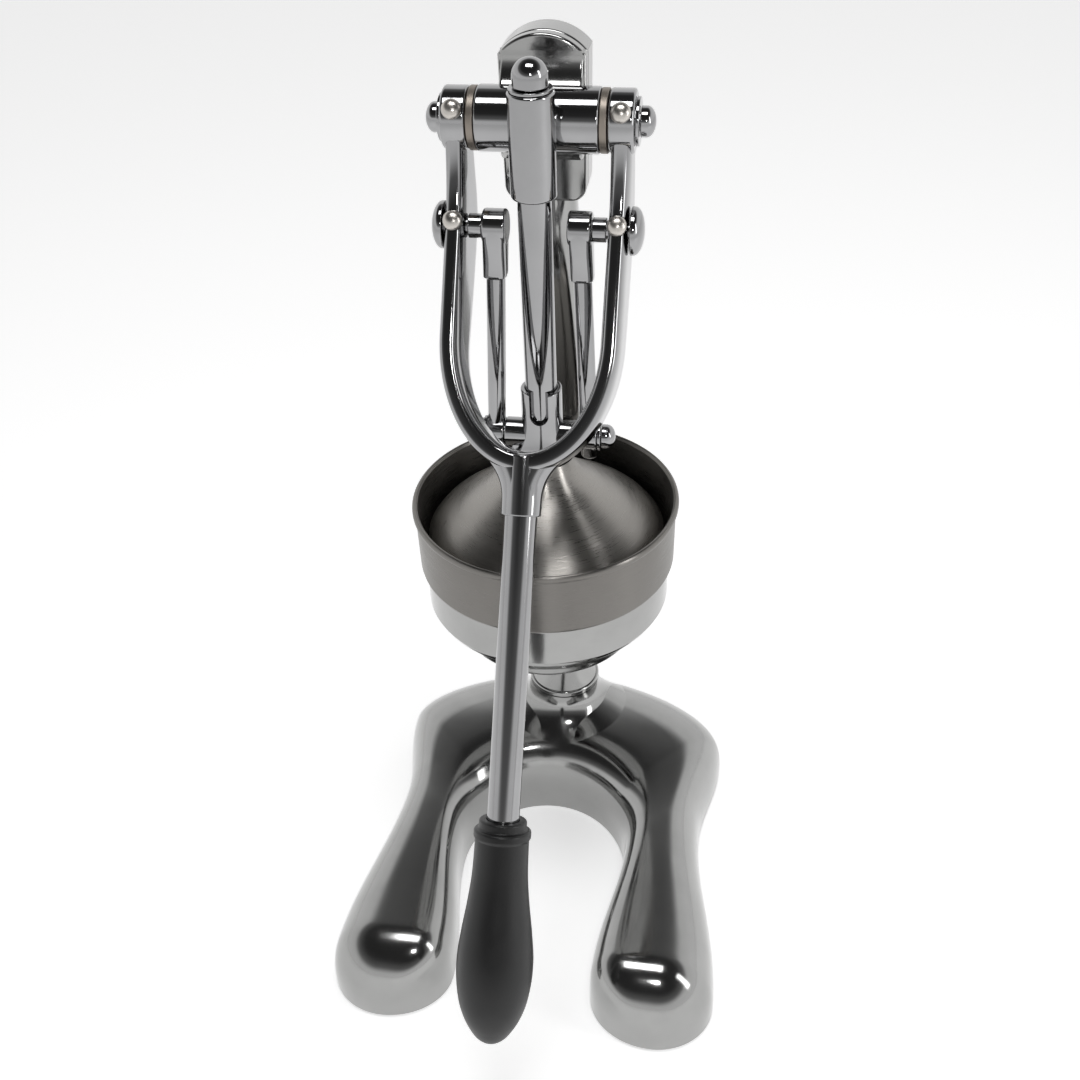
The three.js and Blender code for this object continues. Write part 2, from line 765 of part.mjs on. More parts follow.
function crosshead() {
  const face = headFaceSetback - clearance;
  const plate = plateBetween(headOutline(), face - plateDepth, face, headEdge);
  const side = new THREE.Shape([
    [pivotSetback, pivotHeight - webDrop], [face - headEdge, pivotHeight - webDrop],
    [face - headEdge, pivotHeight + webRise],
    ...quarter([face - plateDepth, pivotHeight + webRise],
      [pivotSetback, pivotHeight + webScoopRise], cornerSteps + 1),
  ].map(([y, z]) => new THREE.Vector2(y, z)));
  const web = moved(new THREE.ExtrudeGeometry(side, {
    depth: webWidth, bevelEnabled: false,
  }).rotateX(Math.PI / 2).rotateZ(Math.PI / 2), -webWidth / 2, 0, 0);
  const barrel = moved(sideways(cylinder(barrelDiameter, -barrelHalfLength, barrelHalfLength)),
    0, pivotSetback, pivotHeight);
  const barrelBore = moved(sideways(cylinder(bushDiameter + 2 * clearance,
    -barrelHalfLength - overrun, barrelHalfLength + overrun)), 0, pivotSetback, pivotHeight);
  return carved(
    joined(plate, web, barrel, chamfered(guideDiameter, guideBottom, guideTop, guideChamfer)),
    barrelBore,
    cylinder(rodDiameter + 2 * clearance, guideBottom - overrun, guideTop + overrun),
    ...boltBores(crossBolts),
  );
}

function pivotBush(side) {
  const flangeInner = barrelHalfLength + clearance;
  const flangeOuter = bossInner - clearance;
  return sideways(turned([
    [bushBore / 2, flangeInner - bushLength], [bushDiameter / 2, flangeInner - bushLength],
    [bushDiameter / 2, flangeInner], [bushFlangeDiameter / 2, flangeInner],
    [bushFlangeDiameter / 2, flangeOuter], [bushBore / 2, flangeOuter],
    [bushBore / 2, flangeInner - bushLength],
  ]), side);
}

// Bowl holder, drain spout, bowl, strainer and reamer

const holderTop = bowlStep - clearance;
const holderInner = holderDiameter / 2 - holderWall;

// Profile of the funnel under the bowl, drawn in by a distance from the holder's outside.
const dish = (inset) => dishShares.map(([inward, down]) => [
  along(holderDiameter, hubTopDiameter, inward) / 2 - inset,
  along(holderShoulder, holderFloor, down) + inset * dishLiftShare,
]);

function bowlHolder() {
  const hubInner = hubDiameter / 2 - holderWall;
  const shell = turned([
    [holderInner, holderTop], [holderDiameter / 2, holderTop], ...dish(0),
    [hubDiameter / 2, hubEnd], [hubInner, hubEnd],
    ...dish(holderWall).reverse(), [holderInner, holderTop],
  ], largeSteps);
  const lugFront = holderDiameter / 2 - holderWall / 2;
  const lugRear = seatFaceSetback - clearance;
  const lug = moved(new THREE.BoxGeometry(lugWidth, lugRear - lugFront, lugTop - lugBottom),
    0, (lugFront + lugRear) / 2, (lugTop + lugBottom) / 2);
  return carved(joined(shell, lug), ...boltBores(lugBolts));
}

// A sleeve pushed over the bowl's outlet.
const drainSpout = () => ring(bowlOutletDiameter + 2 * clearance,
  bowlOutletDiameter + 2 * (clearance + spoutWall), spoutEnd, spoutTop);

function juiceBowl() {
  const outside = holderWall + clearance;
  const sleeve = holderDiameter / 2 - outside;
  const outlet = bowlOutletDiameter / 2;
  const outletTop = holderFloor + outside * dishLiftShare;
  const rim = bowlRimDiameter / 2;
  const band = bowlBandDiameter / 2;
  const neck = bowlRimHeight - 2 * bowlLip;
  return turned([
    [rim - bowlLip, bowlRimHeight], [rim, bowlRimHeight - bowlWall / 2],
    [rim - bowlWall / 2, bowlRimHeight - bowlLip], [bowlDiameter / 2, neck],
    [band, bowlStep], [sleeve, bowlStep],
    ...dish(outside),
    [outlet, outletTop], [outlet, bowlOutletEnd], [outlet - bowlWall, bowlOutletEnd],
    [outlet - bowlWall, outletTop + bowlWall / 2],
    ...dish(outside + bowlWall).reverse(),
    [sleeve - bowlWall, bowlStep + bowlWall], [band - bowlWall, bowlStep + bowlWall],
    [bowlDiameter / 2 - bowlWall, neck], [rim - bowlLip, bowlRimHeight],
  ], largeSteps);
}

const strainerBottom = bowlStep + bowlWall + clearance;

// A flat round plate with a rim on the bowl's step and slots like rays.
function strainer() {
  const rim = bowlBandDiameter / 2 - bowlWall - clearance;
  const plate = new THREE.Shape().absarc(0, 0, rim, 0, 2 * Math.PI);
  counted(strainerSlots, (k) => {
    const middle = new THREE.Vector2();
    const angle = (2 * Math.PI * k) / strainerSlots;
    const corner = (radius, side) => new THREE.Vector2(radius, (side * strainerSlotWidth) / 2)
      .rotateAround(middle, angle);
    plate.holes.push(new THREE.Path([
      corner(strainerSlotInner, -1), corner(strainerSlotInner, 1),
      corner(strainerSlotOuter, 1), corner(strainerSlotOuter, -1),
    ]));
  });
  const depth = strainerThickness;
  return moved(closed(new THREE.ExtrudeGeometry(plate, {
    depth, bevelEnabled: false, curveSegments: largeSteps / 2,
  })), 0, 0, strainerBottom);
}

// Ribbed dome: the radius swings with the ribs and fades to the tip.
function reamerCone() {
  const bottom = strainerBottom + strainerThickness + clearance;
  const pointsPerRib = 4;
  const rings = counted(reamerSteps + 1, (step) => {
    const share = step / reamerSteps;
    const radius = (reamerDiameter / 2) * Math.cos((Math.PI / 2) * share) ** (1 / reamerDomeShare);
    const height = bottom + reamerHeight * Math.sin((Math.PI / 2) * share);
    return counted(reamerRibs * pointsPerRib, (k) => {
      const turn = (2 * Math.PI * k) / (reamerRibs * pointsPerRib);
      const swing = radius * (1 - reamerRibShare + reamerRibShare * Math.cos(reamerRibs * turn));
      return new THREE.Vector3(swing * Math.cos(turn), swing * Math.sin(turn), height);
    });
  });
  const well = turned([
    [0, bottom - overrun], [reamerDiameter / 2 - reamerWell, bottom - overrun],
    [reamerDiameter / 2 - reamerWell, bottom], [0, bottom + reamerWell],
  ]);
  return carved(skin(rings), well);
}

// Fork of the lever, drawn with its pivot at the origin and its handle straight down

const handleLine = (geometry, below) => moved(geometry, 0, crankOffset, -crankDrop - below);

// Centre line of the left or right half of the fork, from its boss to the bow's bottom.
function armPath(side) {
  const crankSteps = 4;
  const straightSteps = 2;
  const bowSteps = 9;
  return [
    ...counted(crankSteps, (k) => new THREE.Vector3(
      side * armCentre,
      crankOffset * Math.sin((Math.PI / 2) * (k / crankSteps)),
      -crankDrop * (k / crankSteps),
    )),
    ...counted(straightSteps, (k) => new THREE.Vector3(
      side * armCentre, crankOffset, -crankDrop - bowStart * (k / straightSteps),
    )),
    ...quarter([side * armCentre, bowStart], [0, bowReach], bowSteps).map(([x, below]) => (
      new THREE.Vector3(x, crankOffset, -crankDrop - below))),
  ];
}

// Depth of the fork in front of and behind its line: slim in the boss, deep along the arms
// and slim again round the bow.
function armDepthsAt(z) {
  const thinned = (z / (-crankDrop - bowReach)) ** armDepthShare;
  const widened = eased(Math.min(-z / crankDrop, 1));
  return [
    along(armFront, bowFront, thinned),
    along(along(armRearAtBoss, armRear, widened), bowRear, thinned),
  ];
}

function forkBow() {
  const [left, right] = sides.map(([, side]) => armPath(side));
  const path = [...left, ...right.reverse().slice(1)];
  return skin(path.map((place, k) => {
    const before = path[Math.max(k - 1, 0)];
    const after = path[Math.min(k + 1, path.length - 1)];
    const heading = after.clone().sub(before).setY(0).normalize();
    const [front, rear] = armDepthsAt(place.z);
    return sectionPoints(armWidth / 2, (front + rear) / 2, armShare, armSteps)
      .map(([across, deep]) => new THREE.Vector3(
        place.x - heading.z * across,
        place.y + (rear - front) / 2 + deep,
        place.z + heading.x * across,
      ));
  }));
}

// Places of the lock screws' seats: in front of the pivot shaft and of the crank pin.
const lockSeats = [
  ['pivot', -bossDiameter / 2 + lockSeatDepth, 0],
  ['crank', crankOffset - armDepthsAt(-crankDrop)[0] + lockSeatDepth, -crankDrop],
];

function leverFork() {
  const boss = (side) => sideways(chamfered(bossDiameter, bossInner, bossOuter, bossChamfer), side);
  const socket = handleLine(chamfered(socketDiameter, -socketBottom, -socketTop, socketChamfer), 0);
  const reach = bossOuter + overrun;
  const shaftHole = sideways(cylinder(shaftDiameter + 2 * clearance, -reach, reach));
  const pinHole = handleLine(sideways(cylinder(crankPinDiameter + 2 * clearance, -reach, reach)), 0);
  const rodHole = handleLine(cylinder(handleDiameter + 2 * clearance, -socketBottom - overrun,
    -socketBottom + rodInSocket + clearance), 0);
  const screwHoles = lockSeats.flatMap(([, y, z]) => sides.map(([, side]) => moved(
    backwards(stepped(-overrun, [
      [lockHeadDiameter + 2 * clearance, overrun],
      [lockShankDiameter + 2 * clearance, lockShankLength + clearance],
    ])), side * armCentre, y, z,
  )));
  return carved(
    joined(forkBow(), boss(1), boss(-1), socket),
    shaftHole, pinHole, rodHole, ...screwHoles,
  );
}

// A round-headed lock screw, its seat at y = 0 and its head towards -Y.
const lockScrew = () => backwards(turned([
  [0, lockShankLength], [lockShankDiameter / 2, lockShankLength],
  [lockShankDiameter / 2, -clearance],
  ...quarter([lockHeadDiameter / 2, -clearance], [0, -clearance - lockHeadRise], cornerSteps),
], fastenerSteps));

const lockScrews = (name, side) => lockSeats.map(([which, y, z]) => (
  piece(`${which}_lock_screw_${name}`, lockScrew(), 'nickel', side * armCentre, y, z)));

const handleRod = () => handleLine(cylinder(handleDiameter,
  -gripStart - rodInGrip + clearance, -socketBottom + rodInSocket), 0);

function handleGrip() {
  const radius = gripDiameter / 2;
  const outside = gripShares.map(([share, wide]) => (
    [radius * wide, -gripStart - gripLength * share]));
  const bore = handleDiameter / 2 + clearance;
  return handleLine(turned([
    [bore, -gripStart], ...outside, [0, -gripStart - rodInGrip], [bore, -gripStart - rodInGrip],
    [bore, -gripStart],
  ], gripSteps), 0);
}

// Pivot shaft with a reduced stud at each end for its dome nuts.
const pivotStudStart = bossOuter + clearance;

function pivotShaft() {
  const studs = [pivotStudDiameter, pivotWasherThickness + clearance + pivotStudLength];
  return sideways(stepped(-pivotStudStart - studs[1], [
    studs, [shaftDiameter, 2 * pivotStudStart], studs,
  ]));
}

const pivotWasher = (side) => sideways(ring(pivotStudDiameter + 2 * clearance,
  pivotWasherDiameter, pivotStudStart, pivotStudStart + pivotWasherThickness), side);

const pivotNut = (side) => moved(sideways(domeNut(pivotNutDiameter, pivotNutSkirt, pivotNutHeight,
  pivotStudDiameter + 2 * clearance, pivotStudLength + clearance), side),
side * (pivotStudStart + pivotWasherThickness + clearance), 0, 0);

// Crank pin: a mushroom head outside the arm, its inner end level with the spacer's.
const spacerInner = linkTopCentre + linkTopWidth / 2 + clearance;
const spacerOuter = armInner - clearance;

const crankPin = (side) => handleLine(sideways(turned([
  [0, spacerInner], [crankPinDiameter / 2, spacerInner],
  [crankPinDiameter / 2, armOuter + clearance], [crankHeadDiameter / 2, armOuter + clearance],
  ...quarter([crankHeadDiameter / 2, armOuter + clearance + crankHeadSkirt],
    [0, armOuter + clearance + crankHeadRise], cornerSteps),
]), side), 0);

const linkSpacer = (side) => handleLine(sideways(ring(crankPinDiameter + 2 * clearance,
  spacerDiameter, spacerInner, spacerOuter), side), 0);

// A link, drawn with its lower eye at the origin's height and its upper eye straight above.
function link(side) {
  const topEye = moved(sideways(cylinder(linkTopDiameter, -linkTopWidth / 2, linkTopWidth / 2)),
    side * linkTopCentre, 0, linkLength);
  const lowEye = moved(sideways(cylinder(linkLowDiameter, -linkLowWidth / 2, linkLowWidth / 2)),
    side * linkLowCentre, 0, 0);
  const centreAt = (z) => side * along(linkLowCentre, linkTopCentre, z / linkLength);
  const stretch = (share, ...sections) => skin(sections.map(([z, width, depth]) => (
    sectionPoints(width / 2, depth / 2, share, armSteps).map(([x, y]) => (
      new THREE.Vector3(centreAt(z) + x, y, z))))));
  const fittingFoot = linkLength - linkFittingLength;
  const fitting = stretch(armShare, [fittingFoot, linkFittingTip, linkFittingTip],
    [linkLength, linkTopWidth, linkTopDiameter]);
  const shank = stretch(1, [-linkTail, linkShankDiameter, linkShankDiameter],
    [fittingFoot + linkFittingTip / 2, linkShankDiameter, linkShankDiameter]);
  const topBore = moved(sideways(cylinder(crankPinDiameter + 2 * clearance,
    linkTopWidth / 2 - linkBoreDepth, linkTopWidth / 2 + overrun), side),
  side * linkTopCentre, 0, linkLength);
  const lowBore = moved(sideways(cylinder(lowerPinDiameter + 2 * clearance,
    -linkLowWidth / 2 - overrun, linkLowWidth / 2 + overrun)), side * linkLowCentre, 0, 0);
  return carved(joined(topEye, lowEye, fitting, shank), topBore, lowBore);
}

// Plunger, drawn with its pins at z = 0

const rodTop = guideTop - plungerHeight;
const bellTop = -yokeDrop - clearance;
const bellNutTop = bellTop - bellWall - clearance;

const pressRod = () => stepped(bellNutTop - bellNutHeight, [
  [bellStudDiameter, rodSeat - bellNutTop + bellNutHeight],
  [rodDiameter, rodTop - rodSeat],
  [rodStudDiameter, rodWasherThickness + clearance + rodStudLength],
]);

const rodWasher = () => ring(rodStudDiameter + 2 * clearance, rodWasherDiameter,
  rodTop + clearance, rodTop + clearance + rodWasherThickness);

const rodNut = () => moved(domeNut(rodNutDiameter, rodNutSkirt, rodNutHeight,
  rodStudDiameter + 2 * clearance, rodStudLength + clearance),
0, 0, rodTop + rodWasherThickness + 2 * clearance);

const yokeBossEnd = linkLowCentre - linkLowWidth / 2 - yokeBossGap;

function pressYoke() {
  const bandTop = -yokeDrop + yokeFootBand;
  const body = turned([
    [0, -yokeDrop], [yokeFootDiameter / 2, -yokeDrop], [yokeFootDiameter / 2, bandTop],
    ...quarter([yokeTopDiameter / 2, yokeBossDiameter / 2], [yokeFootDiameter / 2, bandTop],
      cornerSteps).reverse().slice(1),
    [yokeTopDiameter / 2, yokeRise], [0, yokeRise],
  ]);
  const boss = sideways(cylinder(yokeBossDiameter, -yokeBossEnd, yokeBossEnd));
  const notchFoot = yokeRise - notchHeight + notchWidth / 2;
  const notch = joined(
    moved(forwards(cylinder(notchWidth, 0, yokeTopDiameter)), 0, 0, notchFoot),
    moved(new THREE.BoxGeometry(notchWidth, yokeTopDiameter, notchHeight), 0,
      -yokeTopDiameter / 2, notchFoot + notchHeight / 2),
  );
  const pinHole = (side) => sideways(cylinder(lowerPinDiameter + 2 * clearance,
    lowerPinInner - clearance, yokeBossEnd + overrun), side);
  return carved(
    joined(body, boss),
    cylinder(rodDiameter + 2 * clearance, rodSeat - clearance, yokeRise + overrun),
    cylinder(bellStudDiameter + 2 * clearance, -yokeDrop - overrun, rodSeat + overrun),
    notch, pinHole(1), pinHole(-1),
  );
}

function pressBell() {
  const bore = bellStudDiameter / 2 + clearance;
  const shape = (inset) => bellShares.map(([out, down]) => [
    along(bellTopDiameter, bellDiameter, out) / 2 - inset,
    bellTop - bellHeight * down - (down < 1 ? inset : 0),
  ]);
  return turned([
    [bore, bellTop], ...shape(0), ...shape(bellWall).reverse(), [bore, bellTop - bellWall],
    [bore, bellTop],
  ], largeSteps);
}

const bellNut = () => carved(
  cylinder(bellNutDiameter, bellNutTop - bellNutHeight, bellNutTop, nutSides),
  cylinder(bellStudDiameter + 2 * clearance, bellNutTop - bellNutHeight - overrun,
    bellNutTop + overrun),
);

const lowerStudStart = linkLowCentre + linkLowWidth / 2 + clearance;

const lowerPin = (side) => sideways(stepped(lowerPinInner, [
  [lowerPinDiameter, lowerStudStart - lowerPinInner],
  [lowerStudDiameter, lowerWasherThickness + clearance + lowerStudLength],
]), side);

const lowerWasher = (side) => sideways(ring(lowerStudDiameter + 2 * clearance,
  lowerWasherDiameter, lowerStudStart, lowerStudStart + lowerWasherThickness), side);

const lowerNut = (side) => moved(sideways(domeNut(lowerNutDiameter, lowerNutSkirt, lowerNutHeight,
  lowerStudDiameter + 2 * clearance, lowerStudLength + clearance), side),
side * (lowerStudStart + lowerWasherThickness + clearance), 0, 0);

// Assembly

function stand() {
  const group = new THREE.Group();
  const feet = footPlaces();
  group.add(
    piece('base_casting', baseCasting(), 'polished'),
    ...feet.flatMap(([x, y], k) => [
      piece(`rubber_foot_${k + 1}`, foot(), 'rubber', x, y),
      piece(`foot_screw_${k + 1}`, footScrew(), 'steel', x, y),
    ]),
    piece('upright_casting', uprightCasting(), 'polished'),
    ...uprightBoltPlaces.map((x, k) => (
      piece(`upright_bolt_${k + 1}`, uprightBolt(), 'steel', x, uprightFootSetback))),
    piece('bowl_holder', bowlHolder(), 'polished'),
    ...rearBolts('holder_bolt', lugBolts),
    piece('drain_spout', drainSpout(), 'chrome'),
    piece('juice_bowl', juiceBowl(), 'brushed'),
    piece('strainer', strainer(), 'brushed'),
    piece('reamer_cone', reamerCone(), 'polished'),
    piece('crosshead', crosshead(), 'chrome'),
    ...rearBolts('crosshead_bolt', crossBolts),
    ...sides.map(([name, side]) => (
      piece(`pivot_bush_${name}`, pivotBush(side), 'bronze', 0, pivotSetback, pivotHeight))),
  );
  return group;
}

function lever() {
  const group = new THREE.Group();
  group.position.set(0, pivotSetback, pivotHeight);
  group.rotation.x = -leverRestAngle * degrees;
  group.add(
    piece('pivot_shaft', pivotShaft(), 'chrome'),
    piece('lever_fork', leverFork(), 'chrome'),
    piece('handle_rod', handleRod(), 'chrome'),
    piece('handle_grip', handleGrip(), 'grip'),
    ...sides.flatMap(([name, side]) => [
      ...lockScrews(name, side),
      piece(`pivot_washer_${name}`, pivotWasher(side), 'chrome'),
      piece(`pivot_nut_${name}`, pivotNut(side), 'chrome'),
      piece(`crank_pin_${name}`, crankPin(side), 'chrome'),
      piece(`link_spacer_${name}`, linkSpacer(side), 'chrome'),
    ]),
  );
  return group;
}

function plunger() {
  const group = new THREE.Group();
  group.position.z = plungerHeight;
  group.add(
    piece('press_rod', pressRod(), 'chrome'),
    piece('rod_washer', rodWasher(), 'chrome'),
    piece('rod_nut', rodNut(), 'chrome'),
    piece('press_yoke', pressYoke(), 'chrome'),
    piece('press_bell', pressBell(), 'brushed'),
    piece('bell_nut', bellNut(), 'steel'),
    ...sides.flatMap(([name, side]) => [
      piece(`lower_pin_${name}`, lowerPin(side), 'chrome'),
      piece(`lower_washer_${name}`, lowerWasher(side), 'chrome'),
      piece(`lower_nut_${name}`, lowerNut(side), 'chrome'),
    ]),
  );
  return group;
}

function links() {
  const group = new THREE.Group();
  group.position.z = plungerHeight;
  group.rotation.x = -linkTilt;
  group.add(...sides.map(([name, side]) => piece(`link_${name}`, link(side), 'chrome')));
  return group;
}

const press = new THREE.Group();
press.add(stand(), lever(), plunger(), links());

const footprint = new THREE.Box3().setFromObject(press, true);
press.position.y = -(footprint.min.y + footprint.max.y) / 2;

export default new THREE.Group().add(press);
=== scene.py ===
"""Lever citrus juice press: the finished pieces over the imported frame, and its studio.

Lengths are metres in the model's frame: Z up, the operator at -Y, the table at z = 0.
Places come from the frame's nodes; shapes are numpy surfaces about the press axis, the
lever pivot or the plunger pins.
"""

import math

import bmesh
import bpy
import numpy as np
from bpy.props import FloatProperty, FloatVectorProperty, IntProperty, PointerProperty
from bpy.types import Operator, Panel, PropertyGroup
from mathutils import Matrix, Vector


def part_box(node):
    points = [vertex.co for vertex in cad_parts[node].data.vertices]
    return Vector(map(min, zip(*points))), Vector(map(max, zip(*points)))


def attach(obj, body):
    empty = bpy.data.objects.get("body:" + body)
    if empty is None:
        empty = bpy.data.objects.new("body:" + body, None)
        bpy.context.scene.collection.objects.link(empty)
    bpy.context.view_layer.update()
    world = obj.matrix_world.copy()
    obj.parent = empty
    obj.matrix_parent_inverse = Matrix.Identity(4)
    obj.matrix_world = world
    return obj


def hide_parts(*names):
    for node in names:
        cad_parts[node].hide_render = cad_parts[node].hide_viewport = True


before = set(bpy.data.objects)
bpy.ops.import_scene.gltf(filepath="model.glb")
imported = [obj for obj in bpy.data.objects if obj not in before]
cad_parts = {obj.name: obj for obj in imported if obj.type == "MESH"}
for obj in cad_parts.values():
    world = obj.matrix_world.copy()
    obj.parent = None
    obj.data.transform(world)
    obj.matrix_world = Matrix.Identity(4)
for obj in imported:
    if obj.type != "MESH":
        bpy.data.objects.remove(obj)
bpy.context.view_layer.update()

bl_info = {
    "name": "Lever Juice Press",
    "version": (1, 0, 0),
    "blender": (4, 5, 0),
    "location": "View3D > Sidebar > Juice Press",
    "description": "Builds the visible pieces of a lever citrus juice press over its frame",
    "category": "Object",
}

MM = 0.001
SIDES = (("left", -1), ("right", 1))
CLEAR = 0.3 * MM  # between pieces that rest on each other
WASHER = 1.6 * MM  # thickness of the washers on shaft and pins
COLLAR_RADIUS = 22 * MM  # foot of the upright
SOCKET_DROP = 25.5 * MM  # bottom of the bow to the end of the handle's socket
LINK_FOOT, LINK_TOP = 24.2 * MM, 20.3 * MM  # links' eyes from the centre plane
EYE_HALF = 4.5 * MM  # half the width of a link's lower eye
ROD_SEAT = 2 * MM  # the rod's shoulder above the lower pins


# Places read from the frame


def middle(node):
    """Middle of a node's box."""
    low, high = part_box(node)
    return np.array((low + high) / 2)


def extent(node):
    """Size of a node's box along X, Y and Z."""
    low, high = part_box(node)
    return np.array(high - low)


def levels(node):
    """Heights of a node's lowest and highest point."""
    low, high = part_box(node)
    return low[2], high[2]


AXIS = middle("press_rod") * (0, 1, 0)
PIVOT = middle("pivot_shaft")
CRANK = middle("link_spacer_left") * (0, 1, 1)
PIN = middle("lower_washer_left") * (0, 1, 1)
HEAD_SHOULDER = PIVOT[2] + 26 * MM
LEVER_TILT = math.radians(-33)
LINK_LENGTH = float(np.linalg.norm(CRANK - PIN))
LINK_TILT = -math.atan2(CRANK[1] - PIN[1], CRANK[2] - PIN[2])


def untilted(place, tilt, origin):
    """A place seen from a frame that is tilted about X: its offset turned back."""
    _, y, z = place - origin
    c, s = math.cos(tilt), math.sin(tilt)
    return np.array([0, y * c + z * s, z * c - y * s])


CRANK_IN_LEVER = untilted(CRANK, LEVER_TILT, PIVOT)


# Sizes and colours that a user may change


def size(name, description, value):
    """A length property in metres."""
    return FloatProperty(
        name=name, description=description, default=value, min=0.0, unit="LENGTH",
        precision=5)


def colour(name, description, value):
    """A colour property in linear light."""
    return FloatVectorProperty(
        name=name, description=description, default=value, size=3, subtype="COLOR",
        min=0.0, max=1.0)


class StandSizes(PropertyGroup):
    """Base casting, upright, crosshead and what is bolted to them."""

    base_wall: size("Wall", "Wall of the base casting", 5 * MM)
    saddle_height: size("Saddle", "Height of the casting round the pedestal", 56 * MM)
    leg_height: size("Leg", "Height of the casting along its legs", 48 * MM)
    drop_height: size("Leg tip", "Height where the legs' tips start to fall", 46 * MM)
    arch_half_width: size("Arch", "Half the width between the legs", 50 * MM)
    shoulder_half_width: size("Shoulder", "Half the width behind the bowl", 104 * MM)
    neck_half_width: size("Neck", "Half the width where the legs start", 94 * MM)
    drop_half_width: size("Leg tips", "Half the width over the legs' tips",
                          float(extent("base_casting")[0]) / 2)
    pedestal_reach: size("Pedestal", "Radius where the pedestal's flare runs out", 40 * MM)
    upright_width: size("Upright width", "Width of the upright", 25 * MM)
    upright_depth: size("Upright depth", "Depth of the upright", 27 * MM)
    head_width: size("Head", "Width of the upright's head", 41 * MM)
    barrel_diameter: size("Barrel", "Diameter of the pivot barrel", 30 * MM)
    guide_diameter: size("Guide", "Diameter of the rod guide", 21.6 * MM)


class BowlSizes(PropertyGroup):
    """Bowl holder, bowl, strainer and reamer."""

    holder_diameter: size("Holder", "Diameter of the bowl holder",
                          float(extent("bowl_holder")[0]))
    holder_wall: size("Holder wall", "Wall of the bowl holder", 3.4 * MM)
    bowl_band: size("Bowl band", "Diameter of the bowl's band at its step", 139.8 * MM)
    bowl_mouth: size("Bowl mouth", "Diameter of the bowl under its rim", 140.6 * MM)
    bowl_wall: size("Bowl wall", "Sheet thickness of the bowl", 1.5 * MM)
    strainer_slots: IntProperty(
        name="Slots", description="Slots in the strainer", default=20, min=4, max=60)
    reamer_ribs: IntProperty(
        name="Ribs", description="Ribs round the reamer", default=12, min=4, max=40)


class LeverSizes(PropertyGroup):
    """Fork, handle and grip."""

    arm_centre: size("Arm spread", "Middle of a fork arm from the centre plane", 38.5 * MM)
    arm_width: size("Arm width", "Width of a fork arm", 10.8 * MM)
    boss_diameter: size("Boss", "Diameter of the bosses round the pivot", 29 * MM)
    bow_start: size("Arm length", "Straight arm below the crank pin", 53 * MM)
    bow_reach: size("Bow", "Crank pin to the middle of the bow's bottom", 110.5 * MM)
    socket_diameter: size("Socket", "Diameter of the handle's socket", 19.4 * MM)
    handle_diameter: size("Handle", "Diameter of the handle rod", 16 * MM)
    grip_start: size("Grip place", "Crank pin to the grip, along the handle", 285 * MM)
    grip_length: size("Grip length", "Length of the grip", 114 * MM)
    grip_diameter: size("Grip", "Thickness of the grip", 38 * MM)


class PlungerSizes(PropertyGroup):
    """Press rod, yoke, links and bell."""

    rod_diameter: size("Rod", "Diameter of the press rod", 16 * MM)
    yoke_top: size("Yoke top", "Diameter of the yoke's upper end", 21 * MM)
    yoke_foot: size("Yoke foot", "Diameter of the yoke's foot", 33 * MM)
    link_shank: size("Link", "Diameter of a link's shank", 9.2 * MM)
    bell_diameter: size("Bell", "Diameter of the pressing bell",
                        float(extent("press_bell")[0]))
    bell_top: size("Bell top", "Diameter of the bell's flat top", 27 * MM)
    bell_wall: size("Bell wall", "Sheet thickness of the bell", 1.6 * MM)


class Finishes(PropertyGroup):
    """Colours of the finishes."""

    casting: colour("Casting", "Polished and plated casting", (0.375, 0.375, 0.37))
    chrome: colour("Chrome", "Chromed fittings", (0.365, 0.365, 0.37))
    brushed: colour("Brushed steel", "Spun and brushed steel", (0.35, 0.335, 0.315))
    nickel: colour("Satin nickel", "Lock screws", (0.62, 0.59, 0.55))
    bronze: colour("Bronze", "Sintered bronze bushes", (0.30, 0.265, 0.23))
    zinc: colour("Zinc steel", "Bolts and foot screws", (0.38, 0.385, 0.40))
    grip: colour("Grip", "Moulded grip", (0.006, 0.006, 0.0063))
    rubber: colour("Rubber", "Feet", (0.018, 0.018, 0.018))


class JuicePress(PropertyGroup):
    """All sizes and colours of the press."""

    stand: PointerProperty(type=StandSizes)
    bowl: PointerProperty(type=BowlSizes)
    lever: PointerProperty(type=LeverSizes)
    plunger: PointerProperty(type=PlungerSizes)
    finishes: PointerProperty(type=Finishes)


# Surfaces


def eased(part):
    """Half a cosine wave from 0 to 1."""
    return (1 - np.cos(np.pi * part)) / 2


def along(start, end, part):
    """Straight blend from start to end."""
    return start + (end - start) * part


def unit(vectors):
    """Vectors brought to length 1; those of no length stay."""
    return vectors / np.maximum(np.linalg.norm(vectors, axis=-1, keepdims=True), 1e-12)


def polar(radius, turn, height):
    """Points at a radius, a direction round Z and a height, each a number or an array."""
    return np.stack(np.broadcast_arrays(
        radius * np.cos(turn), radius * np.sin(turn), height), -1)


def woven(rows, columns, wrap_rows=False):
    """Quads over a grid of points kept row by row; the columns close round."""
    i = np.arange(rows if wrap_rows else rows - 1)[:, None]
    j = np.arange(columns)[None, :]
    below, beside = (i + 1) % rows, (j + 1) % columns
    corners = (i * columns + j, i * columns + beside, below * columns + beside,
               below * columns + j)
    return np.stack(np.broadcast_arrays(*corners), -1).reshape(-1, 4)


def turned(profile, steps=96, wrap=False):
    """Surface of revolution about Z: each [radius, height] point of the profile is carried
    round a full circle. A wrapped profile is a closed ring section, an open one starts and
    ends on the axis."""
    turn = np.linspace(0, 2 * np.pi, steps, endpoint=False)
    radius, height = np.asarray(profile, float).T[..., None]
    return polar(radius, turn, height).reshape(-1, 3), woven(len(radius), steps, wrap)


